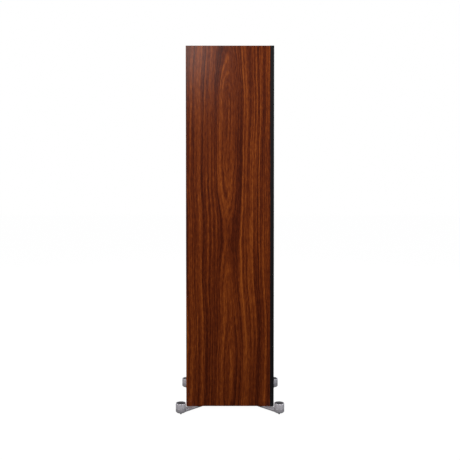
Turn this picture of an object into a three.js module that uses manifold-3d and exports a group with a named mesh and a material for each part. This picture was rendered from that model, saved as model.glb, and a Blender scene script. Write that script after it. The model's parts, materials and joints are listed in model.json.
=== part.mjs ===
// Floorstanding three-way loudspeaker: a slim veneered cabinet on four outrigger feet.
// Millimetres, +Z up. The origin is on the floor under the middle of the cabinet, and the front faces -Y.
import * as THREE from "three";
import { mergeVertices } from "three/addons/utils/BufferGeometryUtils.js";
import Module from "manifold-3d";

const wasm = await Module();
wasm.setup();

// ---- Driving dimensions ----------------------------------------------------------------------

// Cabinet
const cabinetWidth = 180;
const cabinetDepth = 265;
const cabinetBottom = 14;
const cabinetTop = 1100;
const panelThickness = 18;
const fasciaThickness = 11.5;
const fasciaChamfer = 1.5;
const innerBaffleThickness = 22;
const braceThickness = 15;
const braceRail = 22;
const braceHeights = [440, 655];

// Drive units: heights of their centres above the floor
const tweeterHeight = 1022;
const midrangeHeight = 899;
const woofers = [
  ["woofer_upper", 738],
  ["woofer_lower", 572],
];
const rebateDepth = 5;
const fitGap = 0.4;
const contactGap = 0.3;

// Everything that decides a cone driver's shape. Radii are about its axis, and depths go back from the
// front of the fascia.
const wooferSize = {
  frame: 75,
  cutout: 67,
  rollWidth: 10,
  coil: 16,
  seatDepth: 41,
  seatRadius: 45,
  magnet: 46,
  magnetThickness: 14.7,
  windows: 6,
  segments: 20,
};
const midrangeSize = {
  frame: 62,
  cutout: 54,
  rollWidth: 8,
  coil: 12.5,
  seatDepth: 34,
  seatRadius: 36,
  magnet: 38,
  magnetThickness: 12.7,
  windows: 5,
  segments: 18,
};
const tweeterFrame = 50;
const tweeterCutout = 37;
const tweeterSegments = 24;
const hiddenSegments = 13;
const rimDepth = 0.3;
const lipFront = 5.5;
const lipBack = 6.2;
const ledgeDepth = 6.5;
const coneStart = 6.6;
const coneThickness = 1.2;
const plateGap = 4;
const plateThickness = 5;
const yokeThickness = 6;
const poleLead = 3;

// Midrange chamber
const chamberHalfHeight = 58;
const chamberWall = 12;
const chamberBack = 12;

// Bass reflex port in the rear panel
const portHeight = 330;
const portBore = 27;
const portLength = 150;
const portFlange = 46;
const portSegments = 18;
const portWall = 3;
const portFlareOut = 8;
const portFlareLength = 20;
const portInnerFlare = 6;

// Terminal cup in the rear panel
const cupHeight = 150;
const cupPlate = [112, 88];
const cupMouth = [88, 64];
const cupCorner = 9;
const cupPlateThickness = 3;
const cupWall = 3;
const cupDepth = 34;
const postSpacing = 38;
const studRadius = 3;
const postSegments = 12;
const studLength = 30;
const studBehind = 8;
const nutLength = 5;
const nutRest = 2;
const nutRadius = 6.2;
const capLength = 15;
const capRadius = 8.6;
const plugHole = 2;
const plugHoleBevel = 6;
const plugHoleDepth = 12;

// Crossover
const boardSize = [120, 160, 2.5];
const boardHeight = 40;
const boardMiddleY = 10;
const standoffSize = 8;
const coilCentre = [-26, 40];
const coilInner = 10;
const coilOuter = 26;
// Each capacitor: radius, length, x, y
const capacitors = [
  [11, 46, 40, -30],
  [8, 36, 12, -36],
  [8, 36, -8, -36],
];

// Wiring
const trunkX = 38;
const trunkY = 62;
const trunkRadius = 3.5;
const branchRadius = 2.2;
const cableHole = 7;

// Outrigger feet
const footAcross = 240;
const footAlong = 292.6;
const pillarRadius = 15.2;
const armTop = 13.7;
const armThickness = 6.3;
const armWidth = 13;
const armRootWidth = 34;
const armReach = 96;
const bossTop = 20.3;
const wheelBottom = 20.6;
const wheelTop = 34.5;
const spikeRadius = 6.5;
const spikeHeight = 7.1;
const spikeStud = 4;
const spikeTop = 29.5;
const footSegments = 18;
const spikeSegments = 12;

// ---- Derived places --------------------------------------------------------------------------

const halfWidth = cabinetWidth / 2;
const innerHalfWidth = halfWidth - panelThickness;
const frontY = -cabinetDepth / 2;
const rearY = cabinetDepth / 2;
const boxFrontY = frontY + fasciaThickness;
const innerFrontY = boxFrontY + innerBaffleThickness;
const innerRearY = rearY - panelThickness;
const innerBottom = cabinetBottom + panelThickness;
const innerTop = cabinetTop - panelThickness;
const cutClear = 2;

// ---- Materials -------------------------------------------------------------------------------

const finish = (color, roughness, metalness = 0) => ({ color, roughness, metalness });
const walnut = finish(0x6b3a26, 0.45);
const fibreboard = finish(0x8a6d4e, 0.85);
const satinBlack = finish(0x1f1f22, 0.5);
const castBlack = finish(0x2a2b2d, 0.55, 0.5);
const rubber = finish(0x151516, 0.75);
const coneFibre = finish(0x2b2b2e, 0.7);
const copper = finish(0xb06a3c, 0.35, 0.9);
const spiderCloth = finish(0x9c7a3c, 0.9);
const ferrite = finish(0x2f2f31, 0.7, 0.2);
const steel = finish(0x8b8d90, 0.4, 0.9);
const satinMetal = finish(0xa3a4a6, 0.35, 0.9);
const gold = finish(0xb8923e, 0.3, 1);
const redPlastic = finish(0xa01c1c, 0.4);
const blackPlastic = finish(0x18181a, 0.5);
const boardGreen = finish(0x2c4a34, 0.6);
const waddingWhite = finish(0xd8d6d0, 0.95);
const domeCloth = finish(0x222226, 0.6);

// ---- Geometry helpers ------------------------------------------------------------------------

// Shared vertices only, with the zero-area triangles that a revolve leaves on its axis taken out.
function welded(geometry) {
  const bare = geometry.index ? geometry.toNonIndexed() : geometry.clone();
  bare.deleteAttribute("normal");
  bare.deleteAttribute("uv");
  const merged = mergeVertices(bare, 1e-4);
  const old = merged.index.array;
  const kept = [];
  for (let i = 0; i < old.length; i += 3) {
    const [a, b, c] = [old[i], old[i + 1], old[i + 2]];
    if (a !== b && b !== c && c !== a) kept.push(a, b, c);
  }
  merged.setIndex(kept);
  return merged;
}

function signedVolume(geometry) {
  const p = geometry.attributes.position;
  const index = geometry.index.array;
  const corners = [new THREE.Vector3(), new THREE.Vector3(), new THREE.Vector3()];
  let six = 0;
  for (let i = 0; i < index.length; i += 3) {
    corners.forEach((corner, k) => corner.fromBufferAttribute(p, index[i + k]));
    six += corners[0].dot(corners[1].clone().cross(corners[2]));
  }
  return six / 6;
}

function outward(geometry) {
  const closed = welded(geometry);
  if (signedVolume(closed) < 0) {
    const index = closed.index.array;
    for (let i = 0; i < index.length; i += 3) [index[i], index[i + 1]] = [index[i + 1], index[i]];
  }
  return closed;
}

function solid(geometry) {
  const closed = outward(geometry);
  return new wasm.Manifold(
    new wasm.Mesh({
      numProp: 3,
      vertProperties: new Float32Array(closed.attributes.position.array),
      triVerts: new Uint32Array(closed.index.array),
    }),
  );
}

function fromSolid(body) {
  const mesh = body.getMesh();
  const geometry = new THREE.BufferGeometry();
  geometry.setAttribute("position", new THREE.BufferAttribute(new Float32Array(mesh.vertProperties), 3));
  geometry.setIndex(new THREE.BufferAttribute(new Uint32Array(mesh.triVerts), 1));
  return geometry;
}

function cut(from, ...tools) {
  return fromSolid(tools.reduce((left, tool) => left.subtract(solid(tool)), solid(from)));
}

function join(...pieces) {
  return fromSolid(pieces.map(solid).reduce((sum, piece) => sum.add(piece)));
}

// A profile of [radius, y] points turned about the Y axis. It ends on the axis or closes on itself.
function turned(profile, segments) {
  const onAxis = profile[0][0] === 0 && profile[profile.length - 1][0] === 0;
  const ring = onAxis ? profile : [...profile, profile[0]];
  const points = ring.map(([radius, y]) => new THREE.Vector2(radius, y));
  return outward(new THREE.LatheGeometry(points, segments));
}

// The same about the Z axis, from [radius, z] points.
const turnedUpright = (profile, segments) => turned(profile, segments).rotateX(Math.PI / 2);

function box(x0, x1, y0, y1, z0, z1) {
  const geometry = new THREE.BoxGeometry(x1 - x0, y1 - y0, z1 - z0);
  return geometry.translate((x0 + x1) / 2, (y0 + y1) / 2, (z0 + z1) / 2);
}

function outline(points) {
  return new THREE.Shape(points.map(([x, y]) => new THREE.Vector2(x, y)));
}

function extruded(shape, depth, curveSegments = 6) {
  return new THREE.ExtrudeGeometry(shape, { depth, bevelEnabled: false, curveSegments });
}

function rounded(width, height, corner, cx = 0, cy = 0) {
  const shape = new THREE.Shape();
  const [x0, x1, y0, y1] = [cx - width / 2, cx + width / 2, cy - height / 2, cy + height / 2];
  shape.moveTo(x0 + corner, y0);
  shape.lineTo(x1 - corner, y0);
  shape.absarc(x1 - corner, y0 + corner, corner, -Math.PI / 2, 0);
  shape.lineTo(x1, y1 - corner);
  shape.absarc(x1 - corner, y1 - corner, corner, 0, Math.PI / 2);
  shape.lineTo(x0 + corner, y1);
  shape.absarc(x0 + corner, y1 - corner, corner, Math.PI / 2, Math.PI);
  shape.lineTo(x0, y0 + corner);
  shape.absarc(x0 + corner, y0 + corner, corner, Math.PI, Math.PI * 1.5);
  return shape;
}

function arcPoints(centre, middle, radius, from, to, steps) {
  return Array.from({ length: steps + 1 }, (_, k) => {
    const angle = from + ((to - from) * k) / steps;
    return [centre + radius * Math.cos(angle), middle - radius * Math.sin(angle)];
  });
}

const speaker = new THREE.Group();

function named(name, geometry, look, parent = speaker) {
  const shown = geometry.index ? geometry : mergeVertices(geometry);
  shown.computeVertexNormals();
  const mesh = new THREE.Mesh(shown, new THREE.MeshStandardMaterial(look));
  mesh.name = name;
  parent.add(mesh);
  return mesh;
}

// ---- Cabinet ---------------------------------------------------------------------------------

// The four outer panels are mitred where they meet, like a folded box.
function mitredPanel(length, thickness) {
  const half = length / 2;
  return outline([
    [-half, 0],
    [half, 0],
    [half - thickness, -thickness],
    [-half + thickness, -thickness],
  ]);
}

function panel(name, length, x, z, turn) {
  const geometry = extruded(mitredPanel(length, panelThickness), rearY - boxFrontY);
  geometry.rotateX(Math.PI / 2).translate(0, rearY, 0).rotateY(turn).translate(x, 0, z);
  named(name, outward(geometry), walnut);
}

const middleHeight = (cabinetBottom + cabinetTop) / 2;
const cabinetHeight = cabinetTop - cabinetBottom;
panel("side_panel_left", cabinetHeight, -halfWidth, middleHeight, -Math.PI / 2);
panel("side_panel_right", cabinetHeight, halfWidth, middleHeight, Math.PI / 2);
panel("top_panel", cabinetWidth, 0, cabinetTop, 0);
panel("bottom_panel", cabinetWidth, 0, cabinetBottom, Math.PI);

// ---- Openings for the drive units in the fascia and the inner baffle --------------------------

const baffleChamfer = 4;

function driverCutter(height, { frame, cutout, segments }) {
  const frameHole = frame + fitGap;
  const back = innerFrontY - frontY;
  const profile = [
    [0, -cutClear],
    [frameHole, -cutClear],
    [frameHole, rebateDepth],
    [cutout, rebateDepth],
    [cutout, back - baffleChamfer],
    [cutout + baffleChamfer, back],
    [cutout + baffleChamfer, back + cutClear],
    [0, back + cutClear],
  ];
  return turned(profile, segments).translate(0, frontY, height);
}

const tweeterSize = { frame: tweeterFrame, cutout: tweeterCutout, segments: tweeterSegments };
const driverCutters = [
  driverCutter(tweeterHeight, tweeterSize),
  driverCutter(midrangeHeight, midrangeSize),
  ...woofers.map(([, height]) => driverCutter(height, wooferSize)),
];

const fasciaSection = outline([
  [-halfWidth, boxFrontY],
  [-halfWidth, frontY + fasciaChamfer],
  [-halfWidth + fasciaChamfer, frontY],
  [halfWidth - fasciaChamfer, frontY],
  [halfWidth, frontY + fasciaChamfer],
  [halfWidth, boxFrontY],
]);
const fasciaBlank = extruded(fasciaSection, cabinetHeight).translate(0, 0, cabinetBottom);
named("front_fascia", cut(fasciaBlank, ...driverCutters), satinBlack);

const innerBlank = box(-innerHalfWidth, innerHalfWidth, boxFrontY, innerFrontY, innerBottom, innerTop);
named("inner_baffle", cut(innerBlank, ...driverCutters), fibreboard);

// Window braces tie the four walls together, and leave the air free to move through the middle.
function brace(name, height) {
  const low = height - braceThickness / 2;
  const depth = innerRearY - innerFrontY;
  const shape = outline([
    [-innerHalfWidth, innerFrontY],
    [innerHalfWidth, innerFrontY],
    [innerHalfWidth, innerRearY],
    [-innerHalfWidth, innerRearY],
  ]);
  const middleY = (innerFrontY + innerRearY) / 2;
  const windowCorner = 16;
  shape.holes.push(
    rounded(innerHalfWidth * 2 - 2 * braceRail, depth - 2 * braceRail, windowCorner, 0, middleY),
  );
  named(name, outward(extruded(shape, braceThickness, 3).translate(0, 0, low)), fibreboard);
}
brace("brace_lower", braceHeights[0]);
brace("brace_upper", braceHeights[1]);

// A three-walled chamber closes the midrange off from the woofers' air.
const chamberSection = outline([
  [innerFrontY, -chamberHalfHeight],
  [chamberBack - chamberWall, -chamberHalfHeight],
  [chamberBack - chamberWall, chamberHalfHeight],
  [innerFrontY, chamberHalfHeight],
  [innerFrontY, chamberHalfHeight + chamberWall],
  [chamberBack, chamberHalfHeight + chamberWall],
  [chamberBack, -chamberHalfHeight - chamberWall],
  [innerFrontY, -chamberHalfHeight - chamberWall],
]);
const chamberBlank = extruded(chamberSection, innerHalfWidth * 2);
chamberBlank.applyMatrix4(
  new THREE.Matrix4().makeBasis(
    new THREE.Vector3(0, 1, 0),
    new THREE.Vector3(0, 0, 1),
    new THREE.Vector3(1, 0, 0),
  ),
);
chamberBlank.translate(-innerHalfWidth, 0, midrangeHeight);
const holeProfile = [
  [0, -cutClear],
  [cableHole, -cutClear],
  [cableHole, chamberWall + cutClear],
  [0, chamberWall + cutClear],
];
const chamberHole = turned(holeProfile, 12).translate(trunkX, chamberBack - chamberWall, midrangeHeight);
named("midrange_chamber", cut(chamberBlank, chamberHole), fibreboard);

const waddingInset = 6;
const waddingThickness = 28;
const waddingBottom = braceHeights[1] + braceThickness;
const waddingTop = midrangeHeight - chamberHalfHeight - chamberWall - waddingInset;
named(
  "wadding",
  box(
    -innerHalfWidth + waddingInset,
    innerHalfWidth - waddingInset,
    innerRearY - waddingThickness,
    innerRearY - contactGap,
    waddingBottom,
    waddingTop,
  ),
  waddingWhite,
);

// ---- Rear panel with its port and terminal cup -------------------------------------------------

// A profile of [radius, depth] points turned about the port's axis. Depths go in from the rear face.
function portForm(profile) {
  const form = turned(profile, portSegments);
  form.applyMatrix4(new THREE.Matrix4().makeScale(1, -1, 1)).translate(0, rearY, portHeight);
  return outward(form);
}

const portSeat = 9;
const portHole = portFlange - portSeat;
const portRebate = portForm([
  [0, -cutClear],
  [portFlange + fitGap, -cutClear],
  [portFlange + fitGap, rebateDepth],
  [portHole, rebateDepth],
  [portHole, panelThickness + cutClear],
  [0, panelThickness + cutClear],
]);

function cupOutline(width, height) {
  return rounded(width, height, cupCorner);
}

// An X-Z outline extruded backwards into the cabinet, from a depth behind the rear face.
function rearExtrusion(shape, fromDepth, toDepth) {
  return extruded(shape, toDepth - fromDepth, 2)
    .rotateX(Math.PI / 2)
    .translate(0, rearY - fromDepth, cupHeight);
}

const cupRebateDepth = cupPlateThickness + contactGap;
const cupBody = cupMouth.map((size) => size + 2 * cupWall);
const rearBlank = box(-innerHalfWidth, innerHalfWidth, innerRearY, rearY, innerBottom, innerTop);
const cupRebate = rearExtrusion(
  cupOutline(cupPlate[0] + 2 * fitGap, cupPlate[1] + 2 * fitGap),
  -cutClear,
  cupRebateDepth,
);
const cupHole = rearExtrusion(
  cupOutline(cupBody[0] + 2 * fitGap, cupBody[1] + 2 * fitGap),
  -cutClear,
  panelThickness + cutClear,
);
named("rear_panel", cut(rearBlank, portRebate, cupRebate, cupHole), walnut);

// The port: a straight tube with a flare at each end and a flange let into the rear panel.
const portBack = portLength - 2 * portInnerFlare;
const portThroat = [1, 0.5, 0].map((share) => [
  portBore + portFlareOut * share * share,
  rimDepth + 2 + (portFlareLength - 2) * (1 - share),
]);
const reflexPort = portForm([
  [portFlange - 2, rimDepth],
  ...portThroat,
  [portBore, portBack],
  [portBore + portInnerFlare, portLength],
  [portBore + portInnerFlare + portWall, portLength],
  [portBore + portWall, portBack],
  [portBore + portWall, portFlareLength + portWall],
  [portHole - contactGap, 2 * rebateDepth],
  [portHole - contactGap, rebateDepth - contactGap],
  [portFlange, rebateDepth - contactGap],
  [portFlange, rimDepth],
]);
named("reflex_port", reflexPort, blackPlastic);

// The terminal cup: a plate with a recessed box, its floor drilled for the two posts.
const plateShape = cupOutline(...cupPlate);
plateShape.holes.push(cupOutline(...cupMouth));
const wallShape = cupOutline(...cupBody);
wallShape.holes.push(cupOutline(...cupMouth));
const cupPlateRing = rearExtrusion(plateShape, 0, cupPlateThickness);
const cupWallRing = rearExtrusion(wallShape, cupPlateThickness / 2, cupDepth);
const floorShape = cupOutline(...cupBody);
const studHole = studRadius * 1.5 + contactGap;
const postSides = [
  ["red", -1],
  ["black", 1],
];
for (const [, side] of postSides) {
  const hole = new THREE.Path();
  hole.absarc((side * postSpacing) / 2, 0, studHole, 0, Math.PI * 2);
  floorShape.holes.push(hole);
}
const cupFloor = rearExtrusion(floorShape, cupDepth - cupWall, cupDepth);
named("terminal_cup", join(cupPlateRing, cupWallRing, cupFloor), blackPlastic);

// Each post: a fixed stud, a clamp nut that travels along it, and the cap that turns on the nut.
const capBevel = 2;
const cupFloorY = rearY - cupDepth + cupWall;
for (const [colour, side] of postSides) {
  const post = new THREE.Group();
  post.position.set((side * postSpacing) / 2, cupFloorY, cupHeight);
  speaker.add(post);
  const tip = studLength - plugHoleBevel;
  const studProfile = [
    [0, -cupWall - studBehind],
    [studRadius, -cupWall - studBehind],
    [studRadius, contactGap],
    [nutRadius, contactGap],
    [nutRadius, nutRest - contactGap],
    [studRadius, nutRest - contactGap],
    [studRadius, tip],
    [plugHole, tip],
    [plugHole, tip - plugHoleDepth],
    [0, tip - plugHoleDepth],
  ];
  named(`post_stud_${colour}`, turned(studProfile, postSegments), gold, post);
  const bore = studRadius + contactGap;
  const nutProfile = [
    [bore, nutRest],
    [nutRadius, nutRest],
    [nutRadius, nutRest + nutLength],
    [bore, nutRest + nutLength],
  ];
  named(`post_nut_${colour}`, turned(nutProfile, postSegments), gold, post);
  const capStart = nutRest + nutLength + contactGap;
  const capEnd = capStart + capLength;
  const capProfile = [
    [bore, capStart],
    [capRadius - capBevel / 2, capStart],
    [capRadius, capStart + capBevel],
    [capRadius, capEnd - capBevel],
    [capRadius - capBevel / 2, capEnd],
    [bore, capEnd],
  ];
  const capLook = colour === "red" ? redPlastic : blackPlastic;
  named(`post_cap_${colour}`, turned(capProfile, postSegments), capLook, post);
}

// ---- Cone drive units --------------------------------------------------------------------------

const flangeBack = rebateDepth - contactGap;
const ledgeInset = 9.5;
const lipInset = 10;
const lipWidth = 3.5;
const poleGap = 1.6;

// The cast basket: a flange let into the fascia, a tapered wall opened into spokes, and the front
// plate of the motor at its back.
function basket(size) {
  const wall = size.cutout - 1.5;
  const wallStart = 12;
  const ledge = size.frame - ledgeInset;
  const ledgeWidth = 3;
  const rimWidth = 7.5;
  const gapRadius = size.coil + poleGap;
  const floor = size.seatDepth + 0.5;
  const shelf = size.seatDepth - 3.8;
  const shelfInner = size.seatRadius - 7;
  const shelfOuter = size.seatRadius - 2.5;
  const back = size.seatDepth + plateGap + plateThickness;
  const profile = [
    [size.frame - rimWidth, rimDepth],
    [size.frame, rimDepth],
    [size.frame, flangeBack],
    [wall, flangeBack],
    [wall, wallStart],
    [size.seatRadius, size.seatDepth],
    [size.seatRadius, back],
    [gapRadius, back],
    [gapRadius, back - plateThickness],
    [gapRadius + plateGap, floor],
    [shelfInner, floor],
    [shelfInner, shelf],
    [shelfOuter, shelf],
    [ledge - ledgeWidth, ledgeDepth + plateGap],
    [ledge - ledgeWidth, ledgeDepth],
    [ledge, ledgeDepth],
  ];
  const windowFront = 13;
  const windowBack = size.seatDepth - 4.5;
  const spokeHalf = (7 * Math.PI) / 180;
  const pitch = (Math.PI * 2) / size.windows;
  const cutters = Array.from({ length: size.windows }, (_, k) => {
    const corner = (radius, angle) => [radius * Math.cos(angle), radius * Math.sin(angle)];
    const start = k * pitch + spokeHalf;
    const end = (k + 1) * pitch - spokeHalf;
    const near = size.coil + 2;
    const far = size.frame * 1.3;
    const sides = [corner(near, start), corner(far, start), corner(far, end), corner(near, end)];
    const window = extruded(outline(sides), windowBack - windowFront);
    return window.rotateX(Math.PI / 2).translate(0, windowBack, 0);
  });
  return cut(turned(profile, size.segments), ...cutters);
}

// Half-roll surround with its outer lip on the basket's ledge and its inner lip over the cone's edge.
function surround(size) {
  const outer = size.frame - lipInset;
  const roll = size.rollWidth / 2;
  const middle = outer - lipWidth - roll;
  const inner = middle - roll - lipWidth + 0.5;
  const profile = [
    [outer, lipFront],
    ...arcPoints(middle, lipFront, roll, 0, Math.PI, 4),
    [inner, lipFront],
    [inner, lipBack],
    [outer, lipBack],
  ];
  return turned(profile, size.segments);
}

function coneEdge(size) {
  return size.frame - lipInset - lipWidth - size.rollWidth;
}

// A shallow flared cone down to the voice coil. A woofer's has a dust cap over the coil.
function cone(size, capped) {
  const edge = coneEdge(size);
  const neck = size.coil + 1;
  const collar = neck - 0.8;
  const neckDepth = size.seatDepth - 8;
  const steps = 3;
  const curve = 1.12;
  const flare = (share) => [
    edge + (neck - edge) * share,
    coneStart + (neckDepth - coneStart) * Math.pow(share, curve),
  ];
  const front = Array.from({ length: steps + 1 }, (_, k) => flare(k / steps));
  const back = front.map(([radius, depth]) => [radius, depth + coneThickness]);
  if (!capped) {
    const outer = [...front.slice(0, steps), [neck, neckDepth - 0.4], [collar, neckDepth]];
    return turned([...outer, [collar, neckDepth + coneThickness], ...back.reverse()], size.segments);
  }
  const capEdge = neck + 7;
  const capBase = flare((edge - capEdge) / (edge - neck))[1];
  const capRise = 6.5;
  const shoulder = [0.55, 0.7];
  const capInside = capBase + coneThickness;
  const profile = [
    [0, capBase - capRise],
    [capEdge * shoulder[0], capBase - capRise * shoulder[1]],
    [capEdge, capBase],
    ...front.filter(([radius]) => radius > capEdge + 2).reverse(),
    ...back,
    [collar, neckDepth + coneThickness],
    [collar, capBase + 1],
    [capEdge * shoulder[0], capInside - capRise * shoulder[1]],
    [0, capInside - capRise],
  ];
  return turned(profile, size.segments);
}

function voiceCoil(size) {
  const inner = size.coil - 1.3;
  const former = size.coil - 0.2;
  const winding = size.coil + 0.7;
  const top = size.seatDepth - 9;
  const windingTop = size.seatDepth + 2;
  const bottom = size.seatDepth + 16;
  const profile = [
    [inner, top],
    [former, top],
    [former, windingTop],
    [winding, windingTop],
    [winding, bottom],
    [inner, bottom],
  ];
  return turned(profile, hiddenSegments);
}

// Corrugated cloth disc that centres the coil.
function spider(size) {
  const inner = size.coil + 0.3;
  const outer = size.seatRadius - 3;
  const depth = size.seatDepth - 5.5;
  const waves = 2;
  const rise = 0.8;
  const cloth = 0.7;
  const steps = waves * 2;
  const ridge = Array.from({ length: steps + 1 }, (_, k) => {
    const wave = k === 0 || k === steps ? 0 : k % 2 === 0 ? rise : -rise;
    return [inner + ((outer - inner) * k) / steps, depth + wave];
  });
  const under = ridge.map(([radius, d]) => [radius, d + cloth]).reverse();
  return turned([...ridge, ...under], hiddenSegments);
}

function magnet(size) {
  const front = size.seatDepth + plateGap + plateThickness + contactGap;
  const back = front + size.magnetThickness;
  const inner = size.coil + 8;
  const profile = [
    [inner, front],
    [size.magnet, front],
    [size.magnet, back],
    [inner, back],
  ];
  return turned(profile, hiddenSegments);
}

// Back plate and pole piece in one, with the pole reaching into the coil.
function yoke(size) {
  const pole = size.coil - 1.9;
  const front = size.seatDepth + poleLead;
  const motorFront = size.seatDepth + plateGap + plateThickness;
  const plate = motorFront + 2 * contactGap + size.magnetThickness;
  const rim = size.magnet - 3;
  const profile = [
    [0, front],
    [pole, front],
    [pole, plate],
    [rim, plate],
    [rim - 3, plate + yokeThickness],
    [0, plate + yokeThickness],
  ];
  return turned(profile, hiddenSegments);
}

function coneDriver(name, height, size, capped) {
  const unit = new THREE.Group();
  unit.position.set(0, frontY, height);
  speaker.add(unit);
  named(`${name}_basket`, basket(size), castBlack, unit);
  named(`${name}_surround`, surround(size), rubber, unit);
  named(`${name}_cone`, cone(size, capped), coneFibre, unit);
  named(`${name}_voice_coil`, voiceCoil(size), copper, unit);
  named(`${name}_spider`, spider(size), spiderCloth, unit);
  named(`${name}_magnet`, magnet(size), ferrite, unit);
  named(`${name}_yoke`, yoke(size), steel, unit);
  return unit;
}

for (const [name, height] of woofers) coneDriver(name, height, wooferSize, true);
const midrange = coneDriver("midrange", midrangeHeight, midrangeSize, false);

// The phase plug stands on the midrange's pole, inside its open cone.
const plugRadius = midrangeSize.coil - 2.2;
const plugFoot = midrangeSize.seatDepth + poleLead - contactGap;
const plugProfile = [
  [0, 9],
  [plugRadius * 0.45, 12],
  [plugRadius * 0.85, 19],
  [plugRadius, 27],
  [plugRadius, plugFoot],
  [0, plugFoot],
];
named("midrange_phase_plug", turned(plugProfile, hiddenSegments), satinMetal, midrange);

// ---- Tweeter -----------------------------------------------------------------------------------

const tweeter = new THREE.Group();
tweeter.position.set(0, frontY, tweeterHeight);
speaker.add(tweeter);

const throat = 16;
const faceplateBack = 8.4;
const faceplateProfile = [
  [tweeterFrame - 6, rimDepth],
  [tweeterFrame, rimDepth],
  [tweeterFrame, flangeBack],
  [tweeterCutout - 1, flangeBack],
  [tweeterCutout - 1, faceplateBack],
  [throat, faceplateBack],
  [throat, 7],
  [26, 3.2],
  [38, 1],
];
named("tweeter_faceplate", turned(faceplateProfile, tweeterSegments), castBlack, tweeter);

const domeProfile = [
  [0, 3.4],
  [5, 4.1],
  [9.5, 6.3],
  [12.6, 9.6],
  [14.5, 8.9],
  [18.5, 9.4],
  [18.5, 10],
  [12.9, 10.4],
  [12.9, 15.5],
  [12.1, 15.5],
  [12.1, 10.2],
  [9, 7.1],
  [0, 4.2],
];
named("tweeter_dome", turned(domeProfile, hiddenSegments + 2), domeCloth, tweeter);

const motorFront = 10.8;
const motorBack = 29;
const motorRadius = 35;
const motorProfile = [
  [0, motorFront + 0.5],
  [11.5, motorFront + 0.5],
  [11.5, 19],
  [13.8, 19],
  [13.8, motorFront],
  [motorRadius, motorFront],
  [motorRadius, motorBack],
  [0, motorBack],
];
named("tweeter_motor", turned(motorProfile, hiddenSegments), ferrite, tweeter);

const chamberRadius = 30;
const chamberEnd = 50;
const rearChamberProfile = [
  [0, chamberEnd],
  [chamberRadius - 3, chamberEnd],
  [chamberRadius, chamberEnd - 3],
  [chamberRadius, motorBack + contactGap],
  [chamberRadius - 2, motorBack + contactGap],
  [chamberRadius - 2, chamberEnd - 3],
  [0, chamberEnd - 2],
];
named("tweeter_rear_chamber", turned(rearChamberProfile, hiddenSegments), blackPlastic, tweeter);

// ---- Crossover and wiring ------------------------------------------------------------------------

const boardTop = boardHeight + boardSize[2];
const board = box(
  -boardSize[0] / 2,
  boardSize[0] / 2,
  boardMiddleY - boardSize[1] / 2,
  boardMiddleY + boardSize[1] / 2,
  boardHeight,
  boardTop,
);

// The parts on the board sink a little into it, so that all of them join.
const sunk = 0.5;
const cans = capacitors.map(([radius, length, x, y]) =>
  new THREE.CylinderGeometry(radius, radius, length, 8).translate(x, y, boardTop + radius - sunk),
);
const standoffs = [-1, 1].flatMap((sideX) =>
  [-1, 1].map((sideY) => {
    const half = standoffSize / 2;
    const x = sideX * (boardSize[0] / 2 - standoffSize);
    const y = boardMiddleY + sideY * (boardSize[1] / 2 - standoffSize);
    const low = innerBottom + contactGap;
    return box(x - half, x + half, y - half, y + half, low, boardHeight + sunk);
  }),
);
named("crossover_board", join(board, ...standoffs, ...cans), boardGreen);

const crossoverCoil = turnedUpright(
  [
    [coilInner, boardTop + contactGap],
    [coilOuter, boardTop + contactGap],
    [coilOuter, boardTop + coilOuter],
    [coilInner, boardTop + coilOuter],
  ],
  hiddenSegments,
);
named("crossover_coil", outward(crossoverCoil.translate(coilCentre[0], coilCentre[1], 0)), copper);

// The loom: one trunk up the cabinet behind the drive units, with a branch to each of them.
function cable(points, radius, steps) {
  const path = new THREE.CatmullRomCurve3(points.map(([x, y, z]) => new THREE.Vector3(x, y, z)));
  const section = new THREE.Shape();
  section.absarc(0, 0, radius, 0, Math.PI * 2);
  return new THREE.ExtrudeGeometry(section, {
    steps,
    curveSegments: 3,
    extrudePath: path,
    bevelEnabled: false,
  });
}

const trunkFoot = boardTop + 1;
const trunk = cable(
  [
    [trunkX, trunkY, trunkFoot],
    [trunkX, trunkY, braceHeights[0]],
    [trunkX, trunkY, midrangeHeight],
    [trunkX, trunkY, tweeterHeight - 62],
    [26, 30, tweeterHeight - 12],
    [8, -50, tweeterHeight],
    [0, -81, tweeterHeight],
  ],
  trunkRadius,
  10,
);
const branchSteps = 4;
const wooferBranches = woofers.map(([, height]) =>
  cable(
    [
      [trunkX, trunkY, height - 30],
      [50, 10, height - 8],
      [58, -60, height],
      [57, -84, height],
    ],
    branchRadius,
    branchSteps,
  ),
);
const midrangeBranch = cable(
  [
    [trunkX, trunkY, midrangeHeight - 20],
    [trunkX, 30, midrangeHeight],
    [trunkX, -10, midrangeHeight],
    [46, -45, midrangeHeight],
    [46, -72, midrangeHeight],
  ],
  branchRadius,
  branchSteps + 1,
);
const studEnd = cupFloorY - cupWall - studBehind - contactGap;
const cupBranches = postSides.map(([, side]) =>
  cable(
    [
      [trunkX, trunkY, cupHeight - 60],
      [side * 22, 70, cupHeight - 20],
      [(side * postSpacing) / 2, 82, cupHeight],
      [(side * postSpacing) / 2, studEnd, cupHeight],
    ],
    branchRadius,
    branchSteps,
  ),
);
named("wiring_loom", join(trunk, ...wooferBranches, midrangeBranch, ...cupBranches), rubber);

// ---- Outrigger feet ------------------------------------------------------------------------------

const boltHole = 3.3;
const boltPlaces = [66, 84];
const armWaist = 34;
const armFlare = 20;
const armCorner = 8;

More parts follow.
